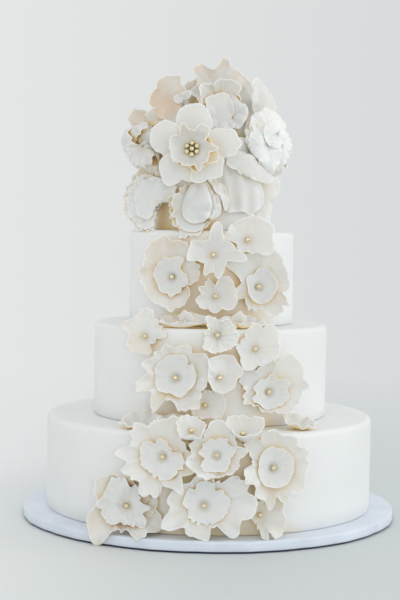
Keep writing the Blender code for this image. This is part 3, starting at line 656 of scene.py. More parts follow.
def petal_finish(petals):
    """Gum paste: grey-lilac and darker by the throat, partly its own tint and partly painted shade of the bowl; white
    at the thin rim as a painted highlight; painted golden shade deep in the crevices.
    """
    look = Finish("gum_paste")
    share, blush, gold = (look.attribute(name) for name in ("share", "blush", "gold"))
    white, pale = tuple(petals.colour), tuple(petals.pale)
    # Darker and warmer towards the throat, partly the paste's own tint and partly painted shade of the bowl; the whiter
    # last stop at the rim is a painted highlight.
    sheet = look.ramp(share, (0.04, tinted(white, 0.88, 0.82, 0.76)), (0.3, tinted(white, 0.94)),
                      (0.92, white), (1.0, (0.93, 0.93, 0.91)))
    spot = look.scaled(look.noise(30, 1), 0.38, 0.68)
    amount = look.times(spot, blush)
    faint = look.scaled(look.noise(28, 1), 0.6, 0.74, 0.0, 0.3)
    blushed = look.joined("MAXIMUM", amount, faint)
    # Painted light: blossoms with a low gold value take this lighter copy of the paste.
    painted_lighter = look.ramp(share, (0.04, tinted(pale, 0.92, 0.88, 0.84)), (0.3, tinted(pale, 0.96)), (1.0, pale))
    sheet = look.between(look.scaled(gold, 0.5, 1.0), painted_lighter, sheet)
    open_air = look.shelter(24 * MM)
    light_blush = tuple(0.35 * one + 0.65 * other for one, other in zip(white, petals.blush))
    sheet = look.between(look.times(blushed, 0.6), sheet, light_blush)
    # Painted shade: cream where petals shelter one another and gold-tan deep in the crevices, peach where blushed; it
    # follows the ambient occlusion and the gold value.
    hollow = look.between(blushed, tuple(petals.crevice), tuple(petals.blush))
    shaded = look.between(blushed, tuple(petals.shade), light_blush)
    deep = look.between(look.scaled(open_air, 0.1, 0.4), hollow, shaded)
    painted_shade = look.times(look.scaled(open_air, 0.62, 0.25), gold)
    look.colour(look.between(painted_shade, sheet, deep))
    look.set(Roughness=0.48, Subsurface_Weight=0.45, Subsurface_Radius=(1.0, 0.75, 0.55),
             Subsurface_Scale=3 * MM, Specular_IOR_Level=0.35)
    look.bump(look.noise(900, 3), 0.08 * MM)
    return look.material


def tier_finish(tiers):
    """Rolled sugar paste: matte, smoothed by hand, with painted golden shade where the blossoms shelter it."""
    look = Finish("tier_paste")
    colour = tuple(tiers.colour)
    smooth = look.between(look.scaled(look.noise(14, 3), 0.35, 0.65), tinted(colour, 0.97), colour)
    # Painted shade: golden paste where the ambient occlusion finds the blossoms close, only where the share attribute
    # allows.
    behind = look.times(look.scaled(look.shelter(32 * MM), 0.58, 0.15), look.attribute("share"))
    look.colour(look.between(behind, smooth, tuple(tiers.painted_shade)))
    look.set(Roughness=0.55, Subsurface_Weight=0.2, Subsurface_Radius=(1.0, 0.7, 0.5),
             Subsurface_Scale=3 * MM, Specular_IOR_Level=0.35)
    look.bump(look.noise(45, 4), 0.5 * MM, 0.35)
    return look.material


def board_finish(board):
    """The satin wrap: pale lilac blue, a little mottled, with a painted shadow of near-black navy on its recessed foot.
    """
    look = Finish("satin_wrap")
    colour = tuple(board.colour)
    lighter = tuple(min(1.0, 1.12 * part) for part in colour)
    satin = look.between(look.scaled(look.noise(26, 4), 0.3, 0.7), colour, lighter)
    # The foot gets a painted shadow in near-black navy.
    look.colour(look.between(look.attribute("share"), satin, tuple(board.foot)))
    look.link(look.scaled(look.noise(70, 3), 0.3, 0.7, 0.34, 0.5), look.shader.inputs["Roughness"])
    look.set(Sheen_Weight=0.2, Specular_IOR_Level=0.5)
    look.bump(look.noise(110, 4), 0.6 * MM, 0.7)
    return look.material


def bead_finish(beads):
    """Gold lustre on a sugar bead, with painted shade low on it where it sits in the throat."""
    look = Finish("gold_bead")
    colour = tuple(beads.colour)
    dust = look.between(look.scaled(look.noise(700, 2), 0.3, 0.7), tinted(colour, 0.9), colour)
    # Painted shade: darker low on the bead where it sits in the throat, from the ambient occlusion.
    bead_seat_shade = look.scaled(look.shelter(5 * MM), 0.75, 0.3)
    look.colour(look.between(bead_seat_shade, dust, tuple(beads.shade)))
    look.set(Metallic=0.75, Roughness=0.16)
    look.bump(look.noise(2200, 2), 0.02 * MM)
    return look.material


def floor_finish(stage):
    """A pale floor, painted lighter to the left, that melts into the surroundings away from the cake."""
    look = Finish("floor")
    across = look.add("ShaderNodeSeparateXYZ")
    look.link(look.place, across.inputs[0])
    # Painted light: lighter to the left, fading to the plain floor colour at the middle.
    look.colour(look.between(look.scaled(across.outputs["X"], *FLOOR_PAINTED_LIGHT), tuple(stage.left), tuple(stage.floor)))
    look.set(Roughness=0.6, Specular_IOR_Level=0.2)
    away = look.add("ShaderNodeVectorMath", operation="LENGTH")
    look.link(look.place, away.inputs[0])
    clear = look.add("ShaderNodeBsdfTransparent")
    mix = look.add("ShaderNodeMixShader")
    look.link(look.scaled(away.outputs["Value"], *FLOOR_FADE), mix.inputs["Fac"])
    look.link(look.shader.outputs["BSDF"], mix.inputs[1])
    look.link(clear.outputs["BSDF"], mix.inputs[2])
    output = look.tree.nodes["Material Output"]
    look.link(mix.outputs["Shader"], output.inputs["Surface"])
    return look.material


# ---------------------------------------------------------------- meshes


class Mould:
    """Corners and faces of one piece, gathered from several closed skins."""

    def __init__(self, gold=1.0):
        self.corners = []
        self.faces = []
        self.shares = []
        self.blushes = []
        self.gold = gold

    def add(self, corners, faces, shares=None, blush=0.0):
        first = len(self.corners)
        self.corners.extend(map(tuple, corners))
        self.faces.extend(tuple(first + i for i in face) for face in faces)
        self.shares.extend([0.5] * len(corners) if shares is None else shares)
        self.blushes.extend([blush] * len(corners))

    def cast(self, name, material):
        mesh = bpy.data.meshes.new(name)
        mesh.from_pydata(self.corners, [], self.faces)
        golds = [self.gold] * len(self.corners)
        for title, values in (("share", self.shares), ("blush", self.blushes), ("gold", golds)):
            mesh.attributes.new(title, "FLOAT", "POINT").data.foreach_set("value", values)
        shape = bmesh.new()
        shape.from_mesh(mesh)
        bmesh.ops.recalc_face_normals(shape, faces=shape.faces[:])
        shape.to_mesh(mesh)
        shape.free()
        mesh.polygons.foreach_set("use_smooth", [True] * len(mesh.polygons))
        mesh.materials.append(material)
        piece = bpy.data.objects.new(name, mesh)
        bpy.context.scene.collection.objects.link(piece)
        return piece


def grid_faces(rows, columns, wrap, first=0):
    """Quads of a grid of corners, row after row."""
    faces = []
    for i in range(rows - 1):
        for j in range(columns if wrap else columns - 1):
            k = (j + 1) % columns
            faces.append((first + i * columns + j, first + i * columns + k,
                          first + (i + 1) * columns + k, first + (i + 1) * columns + j))
    return faces


def grid_normals(grid, wrap):
    """Unit normals of a grid surface, from the differences along its rows and columns."""
    down = np.gradient(grid, axis=0)
    if wrap:
        along = np.roll(grid, -1, axis=1) - np.roll(grid, 1, axis=1)
    else:
        along = np.gradient(grid, axis=1)
    normal = np.cross(down, along)
    return normal / np.maximum(np.linalg.norm(normal, axis=2, keepdims=True), 1e-9)


def slab(grid, thickness, wrap):
    """A closed skin round a grid surface: corners, faces and each corner's share of the way to the rim."""
    rows, columns = grid.shape[:2]
    normal = grid_normals(grid, wrap)
    half = thickness[..., None] / 2
    outward = grid[-1] - grid[-2]
    outward /= np.maximum(np.linalg.norm(outward, axis=1, keepdims=True), 1e-9)
    lip = grid[-1] + outward * thickness[-1][:, None] * 0.4
    count = rows * columns
    corners = np.concatenate([(grid + normal * half).reshape(-1, 3), (grid - normal * half).reshape(-1, 3), lip])
    faces = grid_faces(rows, columns, wrap)
    faces += [face[::-1] for face in grid_faces(rows, columns, wrap, count)]
    last = (rows - 1) * columns
    for j in range(columns if wrap else columns - 1):
        k = (j + 1) % columns
        faces.append((last + j, last + k, 2 * count + k, 2 * count + j))
        faces.append((2 * count + j, 2 * count + k, count + last + k, count + last + j))
    if wrap:
        faces.append(tuple(range(columns)))
        faces.append(tuple(count + j for j in reversed(range(columns))))
    else:
        faces += [(j, count + j, count + j + 1, j + 1) for j in range(columns - 1)]
        for side in (0, columns - 1):
            for i in range(rows - 1):
                one, two = i * columns + side, (i + 1) * columns + side
                faces.append((one, two, count + two, count + one))
            faces.append((last + side, 2 * count + side, count + last + side))
    inward = [i / (rows - 1) for i in range(rows) for _ in range(columns)]
    return corners, faces, inward * 2 + [1.0] * columns


def turned_grid(profile, segments, ripple=None):
    """A grid turned round Z from (radius, height) points, its radius moved by ripple(angle, height)."""
    angles = np.linspace(0, 2 * math.pi, segments, endpoint=False)
    grid = np.zeros((len(profile), segments, 3))
    for i, (radius, height) in enumerate(profile):
        radii = np.full(segments, radius)
        if ripple is not None:
            radii = radii + ripple(angles, height)
        grid[i, :, 0] = radii * np.cos(angles)
        grid[i, :, 1] = radii * np.sin(angles)
        grid[i, :, 2] = height
    return grid


def turned_solid(profile, segments, ripple=None):
    """Corners and faces of a closed turned solid, whose profile runs from the top's middle to the foot's."""
    grid = turned_grid(profile, segments, ripple)
    faces = grid_faces(len(profile), segments, True)
    faces.append(tuple(range(segments)))
    last = (len(profile) - 1) * segments
    faces.append(tuple(last + j for j in reversed(range(segments))))
    return grid.reshape(-1, 3), faces


def corner_points(radius, height, edge, start, steps=8):
    """Points of a quarter round about a centre, from the angle start downwards."""
    points = []
    for i in range(steps + 1):
        angle = start - math.pi / 2 * i / steps
        points.append((radius + edge * math.cos(angle), height + edge * math.sin(angle)))
    return points


# ---------------------------------------------------------------- laying petals


def search_tree(corners, faces):
    """A tree that finds where a ray or a point meets a skin."""
    return BVHTree.FromPolygons([tuple(corner) for corner in corners], faces)


class Laid:
    """What has been laid so far: a search tree to each piece, with its middle and its reach."""

    def __init__(self):
        self.pieces = []

    def add(self, corners, faces):
        points = np.array(corners)
        low, high = points.min(axis=0), points.max(axis=0)
        self.pieces.append((search_tree(points, faces), (low + high) / 2, np.linalg.norm(high - low) / 2))

    def near(self, middle, reach):
        return [tree for tree, centre, size in self.pieces if np.linalg.norm(centre - middle) < size + reach]


LAID = Laid()
CARRIERS = []             # search trees of the board, the tiers and the mound
THROATS = {}              # each laid blossom's throat, with the matrix of the way it faces


def pole_facing(blossom):
    """The matrix of a blossom: its throat's place, with +Z along the way it faces and +Y up."""
    round_to = math.radians(blossom.azimuth)
    place = Vector((blossom.out * math.sin(round_to), -blossom.out * math.cos(round_to), blossom.height)) * MM
    facing = math.radians(blossom.facing)
    pitch = math.radians(blossom.pitch)
    right = Vector((math.cos(facing), math.sin(facing), 0.0))
    ahead = Vector((math.sin(facing) * math.cos(pitch), -math.cos(facing) * math.cos(pitch), math.sin(pitch)))
    turn = Matrix((right, ahead.cross(right), ahead)).transposed().to_4x4()
    return Matrix.Translation(place) @ turn


def wandering(angles, pace, seed):
    """Smooth noise round a circle, about -1 to 1."""
    values = [noise.noise(Vector((pace * math.cos(angle), pace * math.sin(angle), seed))) for angle in angles]
    return 1.8 * np.array(values)


def dents(across, up, seed):
    """Smooth dents of a hand-worked sheet, about -1 to 1, from places in metres."""
    scale = 1 / DENT
    values = [noise.noise(Vector((scale * x, scale * y, seed))) for x, y in zip(across.ravel(), up.ravel())]
    return 1.6 * np.array(values).reshape(across.shape)


def swept(angle, arc):
    """How far out and ahead a sheet has got after each row, from its angle and its length there."""
    step = np.diff(arc, axis=0, prepend=np.zeros((1, arc.shape[1])))
    return np.cumsum(np.cos(angle) * step, axis=0), np.cumsum(np.sin(angle) * step, axis=0)


def outline(rim, base):
    """How far out a sheet reaches each way round, on a smooth curve through its tips and bays."""
    points = sorted((math.atan2(up, right) % (2 * math.pi), math.hypot(right, up) * MM) for right, up in rim)
    ways, reaches = np.array(points).T
    ways = np.concatenate([ways[-2:] - 2 * math.pi, ways, ways[:2] + 2 * math.pi])
    reaches = np.concatenate([reaches[-2:], reaches, reaches[:2]])
    step = np.diff(ways)
    slope = np.diff(reaches) / step
    level = slope[:-1] * slope[1:] <= 0
    tangent = np.where(level, 0.0, 2 * slope[:-1] * slope[1:] / np.where(level, 1.0, slope[:-1] + slope[1:]))
    before = np.clip(np.searchsorted(ways, base, side="right") - 1, 1, len(ways) - 3)
    gap = step[before]
    t = (base - ways[before]) / gap
    start, end = reaches[before], reaches[before + 1]
    leave, arrive = tangent[before - 1] * gap, tangent[before] * gap
    return (start * (1 + 2 * t) * (1 - t) ** 2 + leave * t * (1 - t) ** 2
            + end * t * t * (3 - 2 * t) + arrive * t * t * (t - 1))


def lobes_of(petals, base, seed):
    """For each way round a disc: its reach, and the wave of its lobes, 1 on a tip and -1 in a bay."""
    if petals.rim:
        reach = outline(petals.rim, base)
        around = len(base)
        window = np.hanning(around // 5)
        smooth = np.convolve(np.tile(reach, 3), window / window.sum(), "same")[around:2 * around]
        wave = np.tanh((reach - smooth) / (0.07 * petals.radius * MM))
        return reach, wave + 0.8 * wandering(base, 1.8, seed + 4)
    phase = petals.lobes * (base + 0.2 * wandering(base, 0.9, seed + 3)) / (2 * math.pi)
    tip = 0.7 - 1.5 * np.abs(np.sin(math.pi * phase)) ** 1.15
    lively = np.clip(0.85 + 0.5 * wandering(base, 0.8, seed), 0.3, 1.3)
    return petals.radius * MM * (1 + petals.notch * lively * tip), lively * np.cos(2 * math.pi * phase)


def disc_grid(petals, seed):
    """The middle surface of one disc: rows of corners from the throat out to the rim."""
    radius = petals.radius * MM
    curl = math.radians(petals.curl)
    share = (1 - (1 - np.linspace(THROAT_ROW, 1, RINGS)) ** 1.25)[:, None]
    base = np.linspace(0, 2 * math.pi, SIDES, endpoint=False)
    length = radius * curl / math.sin(min(curl, math.pi / 2))
    growth = np.clip((share - 0.3) / 0.7, 0, 1) ** 1.5
    edge = np.clip((share - 0.6) / 0.4, 0, 1) ** 1.4
    lip = np.clip((share - 0.78) / 0.22, 0, 1)
    reach, wave = lobes_of(petals, base, seed)
    angle = curl * share + math.radians(petals.roll) * lip + np.zeros(SIDES)
    out, ahead = swept(angle, length * share * np.ones(SIDES))
    out = out * (1 + (reach / radius - 1) * (growth if not petals.rim else np.sqrt(growth)))
    busy = np.clip(0.8 + 0.9 * wandering(base, 1.3, seed + 6), 0.1, 1.6)
    fine = petals.frill * edge * busy * wandering(base, petals.fine, seed)
    ragged = 0.8 * petals.frill * edge * busy * wandering(base, min(2.2 * petals.fine, 8.5), seed + 7)
    back = radius * (petals.flutter * growth * wave + fine)
    back = back + radius * petals.pleats * np.clip(share * 1.6, 0, 1) * 2.4 * wandering(base, 7, seed + 5)
    out = out + radius * ragged * np.cos(angle) + back * np.sin(angle)
    ahead = ahead + radius * ragged * np.sin(angle) - back * np.cos(angle)
    around = base + math.radians(petals.turn)
    across, up = out * np.cos(around), out * np.sin(around)
    ahead = ahead + petals.crumple * MM * growth * dents(across, up, seed)
    ahead = ahead + petals.folds * MM * np.sqrt(share) * np.sin(across / FOLD + 40 * up + seed)
    return np.stack([across, up, ahead], axis=2) + np.array(petals.place) * MM


def leaf_grid(leaf, seed):
    """The middle surface of one single petal: rows of corners from its foot out to the rim."""
    length = leaf.length * MM
    share = (1 - (1 - np.linspace(FOOT_ROW, 1, RINGS)) ** 1.2)[:, None]
    side = np.linspace(-1, 1, LEAF_SIDES)
    around = math.radians(leaf.spread) * side
    rim = length * (0.3 + 0.7 * (1 - np.abs(side) ** leaf.round * 0.985) ** 0.45)
    rim = rim * (1 + leaf.point * np.exp(-(side / 0.3) ** 2) - 0.5 * leaf.point)
    rim = rim * (1 + leaf.jag * wandering(around, 4, seed + 5))
    edge = np.clip((share - 0.5) / 0.5, 0, 1) ** 1.5
    lip = np.clip((share - 0.76) / 0.24, 0, 1) ** 1.2
    fringe = np.clip((share - 0.75) / 0.25, 0, 1)
    arc = rim * share * (1 + leaf.frill * fringe * wandering(around, 14, seed))
    along, across = arc * np.cos(around), arc * np.sin(around)
    angle = math.radians(leaf.tilt) + math.radians(leaf.bend) * along / length + math.radians(leaf.roll) * lip
    out, ahead = swept(angle, along)
    lively = np.clip(0.85 + 0.5 * wandering(around, 3, seed + 2), 0.2, 1.4)
    rise = leaf.cup * across ** 2 / (0.5 * length)
    rise = rise + leaf.ruffle * MM * edge * lively * np.sin(math.pi * leaf.waves * side + seed)
    rise = rise + leaf.frill * length * fringe * wandering(around, 11, seed + 9)
    rise = rise + leaf.crumple * MM * np.clip(share * 2, 0, 1) * dents(across, along, seed)
    out, ahead = out - rise * np.sin(angle), ahead + rise * np.cos(angle)
    turn = math.radians(leaf.turn)
    grid = np.stack([out * math.cos(turn) - across * math.sin(turn),
                     out * math.sin(turn) + across * math.cos(turn), ahead], axis=2)
    return grid + np.array(leaf.place) * MM


def to_world(grid, matrix):
    """A blossom's own places carried to the cake's."""
    turn = np.array(matrix.to_3x3())
    return grid @ turn.T + np.array(matrix.translation)


def eased_over(rises, grid):
    """Spreads each rise over its neighbours, so that the sheet keeps a soft slope."""
    flat = grid.reshape(-1, 3)[:, :2]
    raised = np.flatnonzero(rises > 0)
    if not len(raised):
        return np.zeros(len(flat))
    apart = np.linalg.norm(flat[:, None] - flat[None, raised], axis=2)
    return np.maximum(np.max(rises[None, raised] - SLOPE * apart, axis=1), 0.0)


def lifted(grid, matrix, trees, clearance, middle=(0, 0, 0), fixed=0.0):
    """Raises a sheet along its axis over what lies under it, but for a fixed round in its middle."""
    axis = (matrix.to_3x3() @ Vector((0, 0, 1))).normalized()
    for _ in range(2):
        rises = np.zeros(grid.shape[0] * grid.shape[1])
        for index, point in enumerate(to_world(grid, matrix).reshape(-1, 3)):
            start = Vector(point) + axis * REACH
            for tree in trees:
                distance = tree.ray_cast(start, -axis, 2 * REACH)[3]
                if distance is not None:
                    rises[index] = max(rises[index], REACH - distance + clearance)
        if fixed:
            apart = grid.reshape(-1, 3)[:, :2] - np.array(middle[:2]) * MM
            rises[np.linalg.norm(apart, axis=1) < fixed] = 0.0
        eased = eased_over(rises, grid).reshape(grid.shape[:2])
        grid = grid + np.stack([np.zeros_like(eased), np.zeros_like(eased), eased], axis=2)
    return grid


def petal_thickness(grid, petals):
    """Thick at the throat and thinned towards the rim."""
    share = np.linspace(0, 1, grid.shape[0])[:, None] ** 1.5
    return np.broadcast_to(petals.paste + (petals.rim - petals.paste) * share, grid.shape[:2])


def stem(start, radius, matrix, trees):
    """A cone of paste from the back of a sheet to what carries its blossom: corners and faces."""
    root = min((tree.find_nearest(start) for tree in CARRIERS), key=lambda found: found[3])[0]
    right, up = matrix.to_3x3().col[0], matrix.to_3x3().col[1]
    rows = [[] for _ in range(STEM_RINGS)]
    for side in range(STEM_SIDES):
        angle = 2 * math.pi * side / STEM_SIDES
        aside = (right * math.cos(angle) + up * math.sin(angle)) * radius
        way = root + STEM_SPREAD * aside - (start + aside)
        reach = way.length
        hits = [tree.ray_cast(start + aside, way, reach + radius)[3] for tree in trees]
        reach = max(min([hit for hit in hits if hit is not None], default=reach) - GAP, GAP)
        for ring, row in enumerate(rows):
            share = ring / (STEM_RINGS - 1)
            waist = STEM_WAIST * math.sin(math.pi * share)
            row.append(start + aside * (1 - waist) + way.normalized() * reach * share)
    faces = grid_faces(STEM_RINGS, STEM_SIDES, True)
    last = (STEM_RINGS - 1) * STEM_SIDES
    faces.append(tuple(range(STEM_SIDES)))
    faces.append(tuple(last + side for side in reversed(range(STEM_SIDES))))
    return [tuple(point) for row in rows for point in row], faces


def lay_blossom(blossom, seed, petals, mould, stands_off):
    """Lays the sheets of one blossom on what is there and adds them to a mould; returns its throat.

    Its first sheet gets a cone of paste where it hangs free. So do the others of one that stands off the cake.
    """
    matrix = pole_facing(blossom)
    trees = LAID.near(np.array(matrix.translation), NEARBY)
    clearance = CLEARANCE * petals.paste + GAP
    own = []
    skins = []
    throat = np.zeros(3)
    discs = 0
    for layer, sheet in enumerate(blossom.sheets):
        disc = isinstance(sheet, Petals)
        grid = (disc_grid if disc else leaf_grid)(sheet, seed + LAYER_SEED * layer)
        if disc:
            grid[..., 2] += discs * petals.paste * LAYER_STEP
            discs += 1
        grid = lifted(grid, matrix, trees, clearance)
        if own:
            middle = sheet.place if disc else (0, 0, 0)
            grid = lifted(grid, matrix, own, clearance, middle, FUSED * sheet.radius * MM if disc else 0.0)
        corners, faces, shares = slab(to_world(grid, matrix), petal_thickness(grid, petals), disc)
        if disc:
            shares = [sheet.heart + (1 - sheet.heart) * value for value in shares]
            throat = grid[0].mean(axis=0)
        own.append(search_tree(corners, faces))
        skins.append((corners, faces))
        mould.add(corners, faces, shares, sheet.blush)
        back = matrix @ Vector(grid[0].mean(axis=0)) - matrix.to_3x3().col[2] * STEM_BEHIND * petals.paste
        apart = min(tree.find_nearest(back)[3] for tree in CARRIERS)
        if apart > STEM_LEAST and (layer == 0 or stands_off):
            wide = disc and sheet.curl > 0 and stands_off
            corners, faces = stem(back, STEM_SHARE * sheet.radius * MM if wide else STEM_THIN, matrix, trees)
            skins.append((corners, faces))
            mould.add(corners, faces)
    for corners, faces in skins:
        LAID.add(corners, faces)
    return matrix @ Vector(throat), matrix


# ---------------------------------------------------------------- operators


def finish_of(name, make, settings):
    """One material of that name, made on first use."""
    return bpy.data.materials.get(name) or make(settings)


def keep(piece, slot, *nodes):
    """A piece rides on the cake's body and stands for its solids, which are hidden; its slot is not used."""
    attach(piece, "root")
    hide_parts(*nodes)


def turn_piece(name, node, slot, material, profile, segments, ripple=None, share_of=None):
    """Makes a turned piece in a node's place, for blossoms to be laid and carried on."""
    corners, faces = turned_solid(profile, segments, ripple)
    mould = Mould()
    mould.add(corners, faces, share_of and [share_of(corner) for corner in corners])
    keep(mould.cast(name, material), slot, node)
    LAID.add(corners, faces)
    CARRIERS.append(search_tree(corners, faces))


class CAKE_OT_board(bpy.types.Operator):
    """Makes the round board in its satin wrap, with the folds round its edge"""

    bl_idname = "cake.board"
    bl_label = "Board"

    def execute(self, context):
        settings = context.scene.cake_board
        low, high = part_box("board")
        radius, top, edge = (high.x - low.x) / 2, high.z, 2.5 * MM

        def folds(angles, height):
            band = np.sin(settings.folds / 2 * angles + 0.7 * np.sin(3 * angles))
            crease = 0.8 * MM * np.abs(band) ** 8 * np.sign(band)
            return crease * min(1.0, max(0.0, (top - height) / (3 * MM)))

        # Corners of the recessed foot, which get the painted shadow.
        def in_painted_shadow(corner):
            return 1.0 if corner[2] < foot + 0.1 * MM else 0.0

        inner = radius - edge
        profile = [(POLE, top), (inner * 0.6, top), (inner * 0.93, top)]
        profile += corner_points(inner, top - edge, edge, math.pi / 2)
        foot = 1.8 * MM
        recess = radius - 2.5 * MM
        profile += [(radius, top / 2), (radius, foot + 0.8 * MM), (radius - 0.8 * MM, foot),
                    (recess, foot), (recess, 0.0), (inner * 0.9, 0.0), (POLE, 0.0)]
        turn_piece("wrapped_board", "board", "board_wrap", finish_of("satin_wrap", board_finish, settings),
                   profile, 360, folds, in_painted_shadow)
        return {"FINISHED"}


def behind_blossoms(level, corner):
    """How much painted golden shade a tier may take: most where the blossoms cover it, not at all away from them."""
    azimuth = math.degrees(math.atan2(corner[0], -corner[1]))
    left, right = COVERED[level - 1]
    return WALL_PAINTED_SHADE_AND_LIGHT[level - 1] * min(1.0, max(0.0, min(azimuth - left, right - azimuth) / COVER_FADE))


class CAKE_OT_tiers(bpy.types.Operator):
    """Makes the four tiers, with paste rounded over their rims and slightly uneven by hand"""

    bl_idname = "cake.tiers"
    bl_label = "Tiers"

    def execute(self, context):
        settings = context.scene.cake_tiers
        material = finish_of("tier_paste", tier_finish, settings)
        for level, node in enumerate(TIERS, start=1):
            low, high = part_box(node)
            radius, edge = (high.x - low.x) / 2, settings.edge

            def uneven(angles, height, level=level):
                return 0.35 * MM * wandering(angles, 1.6, level + 9 * height)

            inner = radius - edge
            profile = [(POLE, high.z), (inner * 0.5, high.z), (inner * 0.9, high.z)]
            profile += corner_points(inner, high.z - edge, edge, math.pi / 2)
            steps = 7
            foot = 1.2 * MM
            for i in range(1, steps + 1):
                profile.append((radius, high.z - edge - (high.z - edge - low.z - foot) * i / steps))
            profile += [(radius - foot, low.z), (inner * 0.5, low.z), (POLE, low.z)]
            turn_piece(f"paste_{node}", node, "sugar_paste", material, profile, TIER_SEGMENTS, uneven,
                       lambda corner, level=level: behind_blossoms(level, corner))
        return {"FINISHED"}


def lay_group(context, blossoms, first_seed, stands_off=False):
    """Lays several blossoms in order, one piece each, and keeps where their throats are."""
    settings = context.scene.cake_petals
    material = finish_of("gum_paste", petal_finish, settings)
    for number, blossom in enumerate(blossoms):
        mould = Mould(blossom.gold)
        seed = first_seed + BLOSSOM_SEED * number
        THROATS[blossom.name] = lay_blossom(blossom, seed, settings, mould, stands_off)
        keep(mould.cast("sugar_" + blossom.name, material), "petal_paste", blossom.name)


class CAKE_OT_ledge_ruffles(bpy.types.Operator):
    """Makes the ruffled discs that lie on the tops of the lower tiers"""

    bl_idname = "cake.ledge_ruffles"
    bl_label = "Ledge ruffles"

    def execute(self, context):
        lay_group(context, LEDGE, LEDGE_SEED)
        return {"FINISHED"}


class CAKE_OT_cascade(bpy.types.Operator):
    """Makes the blossoms that run down the front"""

    bl_idname = "cake.cascade"
    bl_label = "Cascade"

    def execute(self, context):
        lay_group(context, CASCADE, CASCADE_SEED)
        return {"FINISHED"}


class CAKE_OT_crown(bpy.types.Operator):
    """Makes the blossoms round and on the top tier"""

    bl_idname = "cake.crown"
    bl_label = "Crown"

    def execute(self, context):
        low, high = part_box("crown_mound")
        radius, height = (high.x - low.x) / 2, high.z - low.z
        steps = 12
        quarter = [math.pi / 2 * i / steps for i in range(steps + 1)]
        profile = [(POLE + radius * math.sin(angle), low.z + height * math.cos(angle)) for angle in quarter]
        profile.append((POLE, low.z))
        material = finish_of("gum_paste", petal_finish, context.scene.cake_petals)
        turn_piece("paste_mound", "crown_mound", "sugar_paste", material, profile, 96)
        lay_group(context, CROWN, CROWN_SEED, stands_off=True)
        return {"FINISHED"}


class CAKE_OT_beads(bpy.types.Operator):
    """Sets a gold sugar bead in the throat of each blossom of the cascade, and a cluster of seven in the large blossom
    """

    bl_idname = "cake.beads"
    bl_label = "Gold beads"

    def execute(self, context):
        settings = context.scene.cake_beads
        material = finish_of("gold_bead", bead_finish, settings)
        mould = Mould()
        for blossom in CASCADE:
            throat, matrix = THROATS[blossom.name]
            add_bead(mould, throat + matrix.to_3x3() @ Vector((0, 0, 0.8 * settings.radius)), settings.radius)
        piece = mould.cast("gold_beads", material)
        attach(piece, "root")
        hero = Mould()
        throat, matrix = THROATS["crown_hero"]
        for i in range(7):
            angle = math.radians(60 * i + 30)
            ring = 0 if i == 6 else CLUSTER_RING
            spot = Vector((ring * math.cos(angle), ring * math.sin(angle), settings.radius))
            add_bead(hero, throat + matrix.to_3x3() @ spot, settings.radius * CLUSTER_BEAD)
        piece = hero.cast("gold_bead_cluster", material)
        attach(piece, "root")
        return {"FINISHED"}


def add_bead(mould, middle, radius):
    """Adds a round bead to a mould."""
    shape = bmesh.new()
    bmesh.ops.create_icosphere(shape, subdivisions=3, radius=radius, matrix=Matrix.Translation(middle))
    mould.add([corner.co for corner in shape.verts], [[corner.index for corner in face.verts] for face in shape.faces])
    shape.free()


class CAKE_OT_stage(bpy.types.Operator):
    """Makes the floor, the soft light and the camera"""

    bl_idname = "cake.stage"
    bl_label = "Stage"

    def execute(self, context):
        settings = context.scene.cake_stage
        scene = context.scene
        shape = bmesh.new()
        bmesh.ops.create_circle(shape, cap_ends=True, segments=96, radius=FLOOR_RADIUS)
        mesh = bpy.data.meshes.new("floor")
        shape.to_mesh(mesh)
        shape.free()
        mesh.materials.append(floor_finish(settings))
        floor = bpy.data.objects.new("floor", mesh)
        scene.collection.objects.link(floor)
        scene.world = studio_world(settings)
        softbox("key_softbox", (2.4, -0.35, 1.0), (0, 0, 0.25), 1.6, settings.key, (0.97, 0.99, 1.0))
        softbox("front_softbox", (0.35, -2.2, 0.45), (0, 0, 0.12), 0.4, settings.front, (1.0, 0.99, 0.97))
        scene.view_settings.view_transform = "Standard"
        scene.camera = studio_camera(scene)
        return {"FINISHED"}


def studio_world(settings):
    """Even light from all round: brighter before the cake than behind it, and falling off to the right."""
    world = bpy.data.worlds.new("studio")
    world.use_nodes = True
    air = Nodes(world.node_tree)
    way = air.add("ShaderNodeSeparateXYZ")
    air.link(air.add("ShaderNodeTexCoord").outputs["Generated"], way.inputs["Vector"])
    across = air.ramp(air.scaled(way.outputs["X"], -BACKDROP, BACKDROP), (0.0, BACKDROP_LEFT), (1.0, BACKDROP_RIGHT))
    front = tinted((settings.ambient,) * 3, 1.0, 1.01, 1.0)
    light = air.between(air.scaled(way.outputs["Y"], *BEFORE), across, front)
    air.link(light, air.tree.nodes["Background"].inputs["Color"])
    return world


def softbox(name, place, aim, size, power, colour):
    """A round soft light of that size at a place, turned to its aim."""
    light = bpy.data.lights.new(name, "AREA")
    light.shape = "DISK"
    light.size = size
    light.energy = power
    light.color = colour
    lamp = bpy.data.objects.new(name, light)
    lamp.location = place
    lamp.rotation_euler = (Vector(aim) - Vector(place)).to_track_quat("-Z", "Y").to_euler()
    bpy.context.scene.collection.objects.link(lamp)


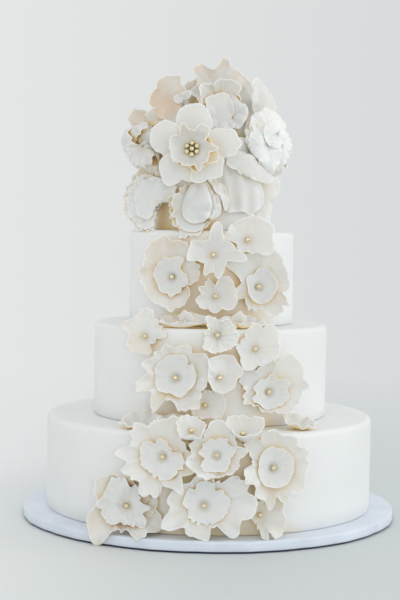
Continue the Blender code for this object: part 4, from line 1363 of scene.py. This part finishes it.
def studio_camera(scene):
    """A long lens at the height of the third tier, looking a little down."""
    distance, height, focal, pitch, roll, pan = 1.5353, 0.31165, 83.604, 0.0494, 0.0151, -0.0078
    pan_turn = Matrix(((math.cos(pan), -math.sin(pan), 0), (math.sin(pan), math.cos(pan), 0), (0, 0, 1)))
    pitch_turn = Matrix(((1, 0, 0), (0, math.sin(pitch), math.cos(pitch)), (0, math.cos(pitch), -math.sin(pitch))))
    turn = pitch_turn @ pan_turn
    right, up, ahead = Vector(turn[0]), Vector(turn[1]), Vector(turn[2])
    rolled_right = right * math.cos(roll) + up * math.sin(roll)
    rolled_up = up * math.cos(roll) - right * math.sin(roll)
    data = bpy.data.cameras.new("camera")
    data.lens = focal
    data.sensor_width = 36
    camera = bpy.data.objects.new("camera", data)
    matrix = Matrix((rolled_right, rolled_up, -ahead)).transposed().to_4x4()
    matrix.translation = Vector((0, -distance, height))
    camera.matrix_world = matrix
    scene.collection.objects.link(camera)
    return camera


class CAKE_PT_panel(bpy.types.Panel):
    bl_label = "Wedding cake"
    bl_idname = "CAKE_PT_panel"
    bl_space_type = "VIEW_3D"
    bl_region_type = "UI"
    bl_category = "Cake"

    def draw(self, context):
        for operator in OPERATORS:
            self.layout.operator(operator.bl_idname)
        for name, group in SETTINGS.items():
            box = self.layout.box()
            for prop in group.__annotations__:
                box.prop(getattr(context.scene, name), prop)


OPERATORS = (CAKE_OT_board, CAKE_OT_tiers, CAKE_OT_ledge_ruffles, CAKE_OT_cascade, CAKE_OT_crown,
             CAKE_OT_beads, CAKE_OT_stage)


def register():
    for group in SETTINGS.values():
        bpy.utils.register_class(group)
    for kind in (*OPERATORS, CAKE_PT_panel):
        bpy.utils.register_class(kind)
    for name, group in SETTINGS.items():
        setattr(bpy.types.Scene, name, bpy.props.PointerProperty(type=group))


def unregister():
    for name in SETTINGS:
        delattr(bpy.types.Scene, name)
    for kind in (*OPERATORS, CAKE_PT_panel):
        bpy.utils.unregister_class(kind)
    for group in SETTINGS.values():
        bpy.utils.unregister_class(group)


def main():
    register()
    bpy.ops.cake.board()
    bpy.ops.cake.tiers()
    bpy.ops.cake.ledge_ruffles()
    bpy.ops.cake.cascade()
    bpy.ops.cake.crown()
    bpy.ops.cake.beads()
    bpy.ops.cake.stage()


if __name__ == "__main__":
    main()
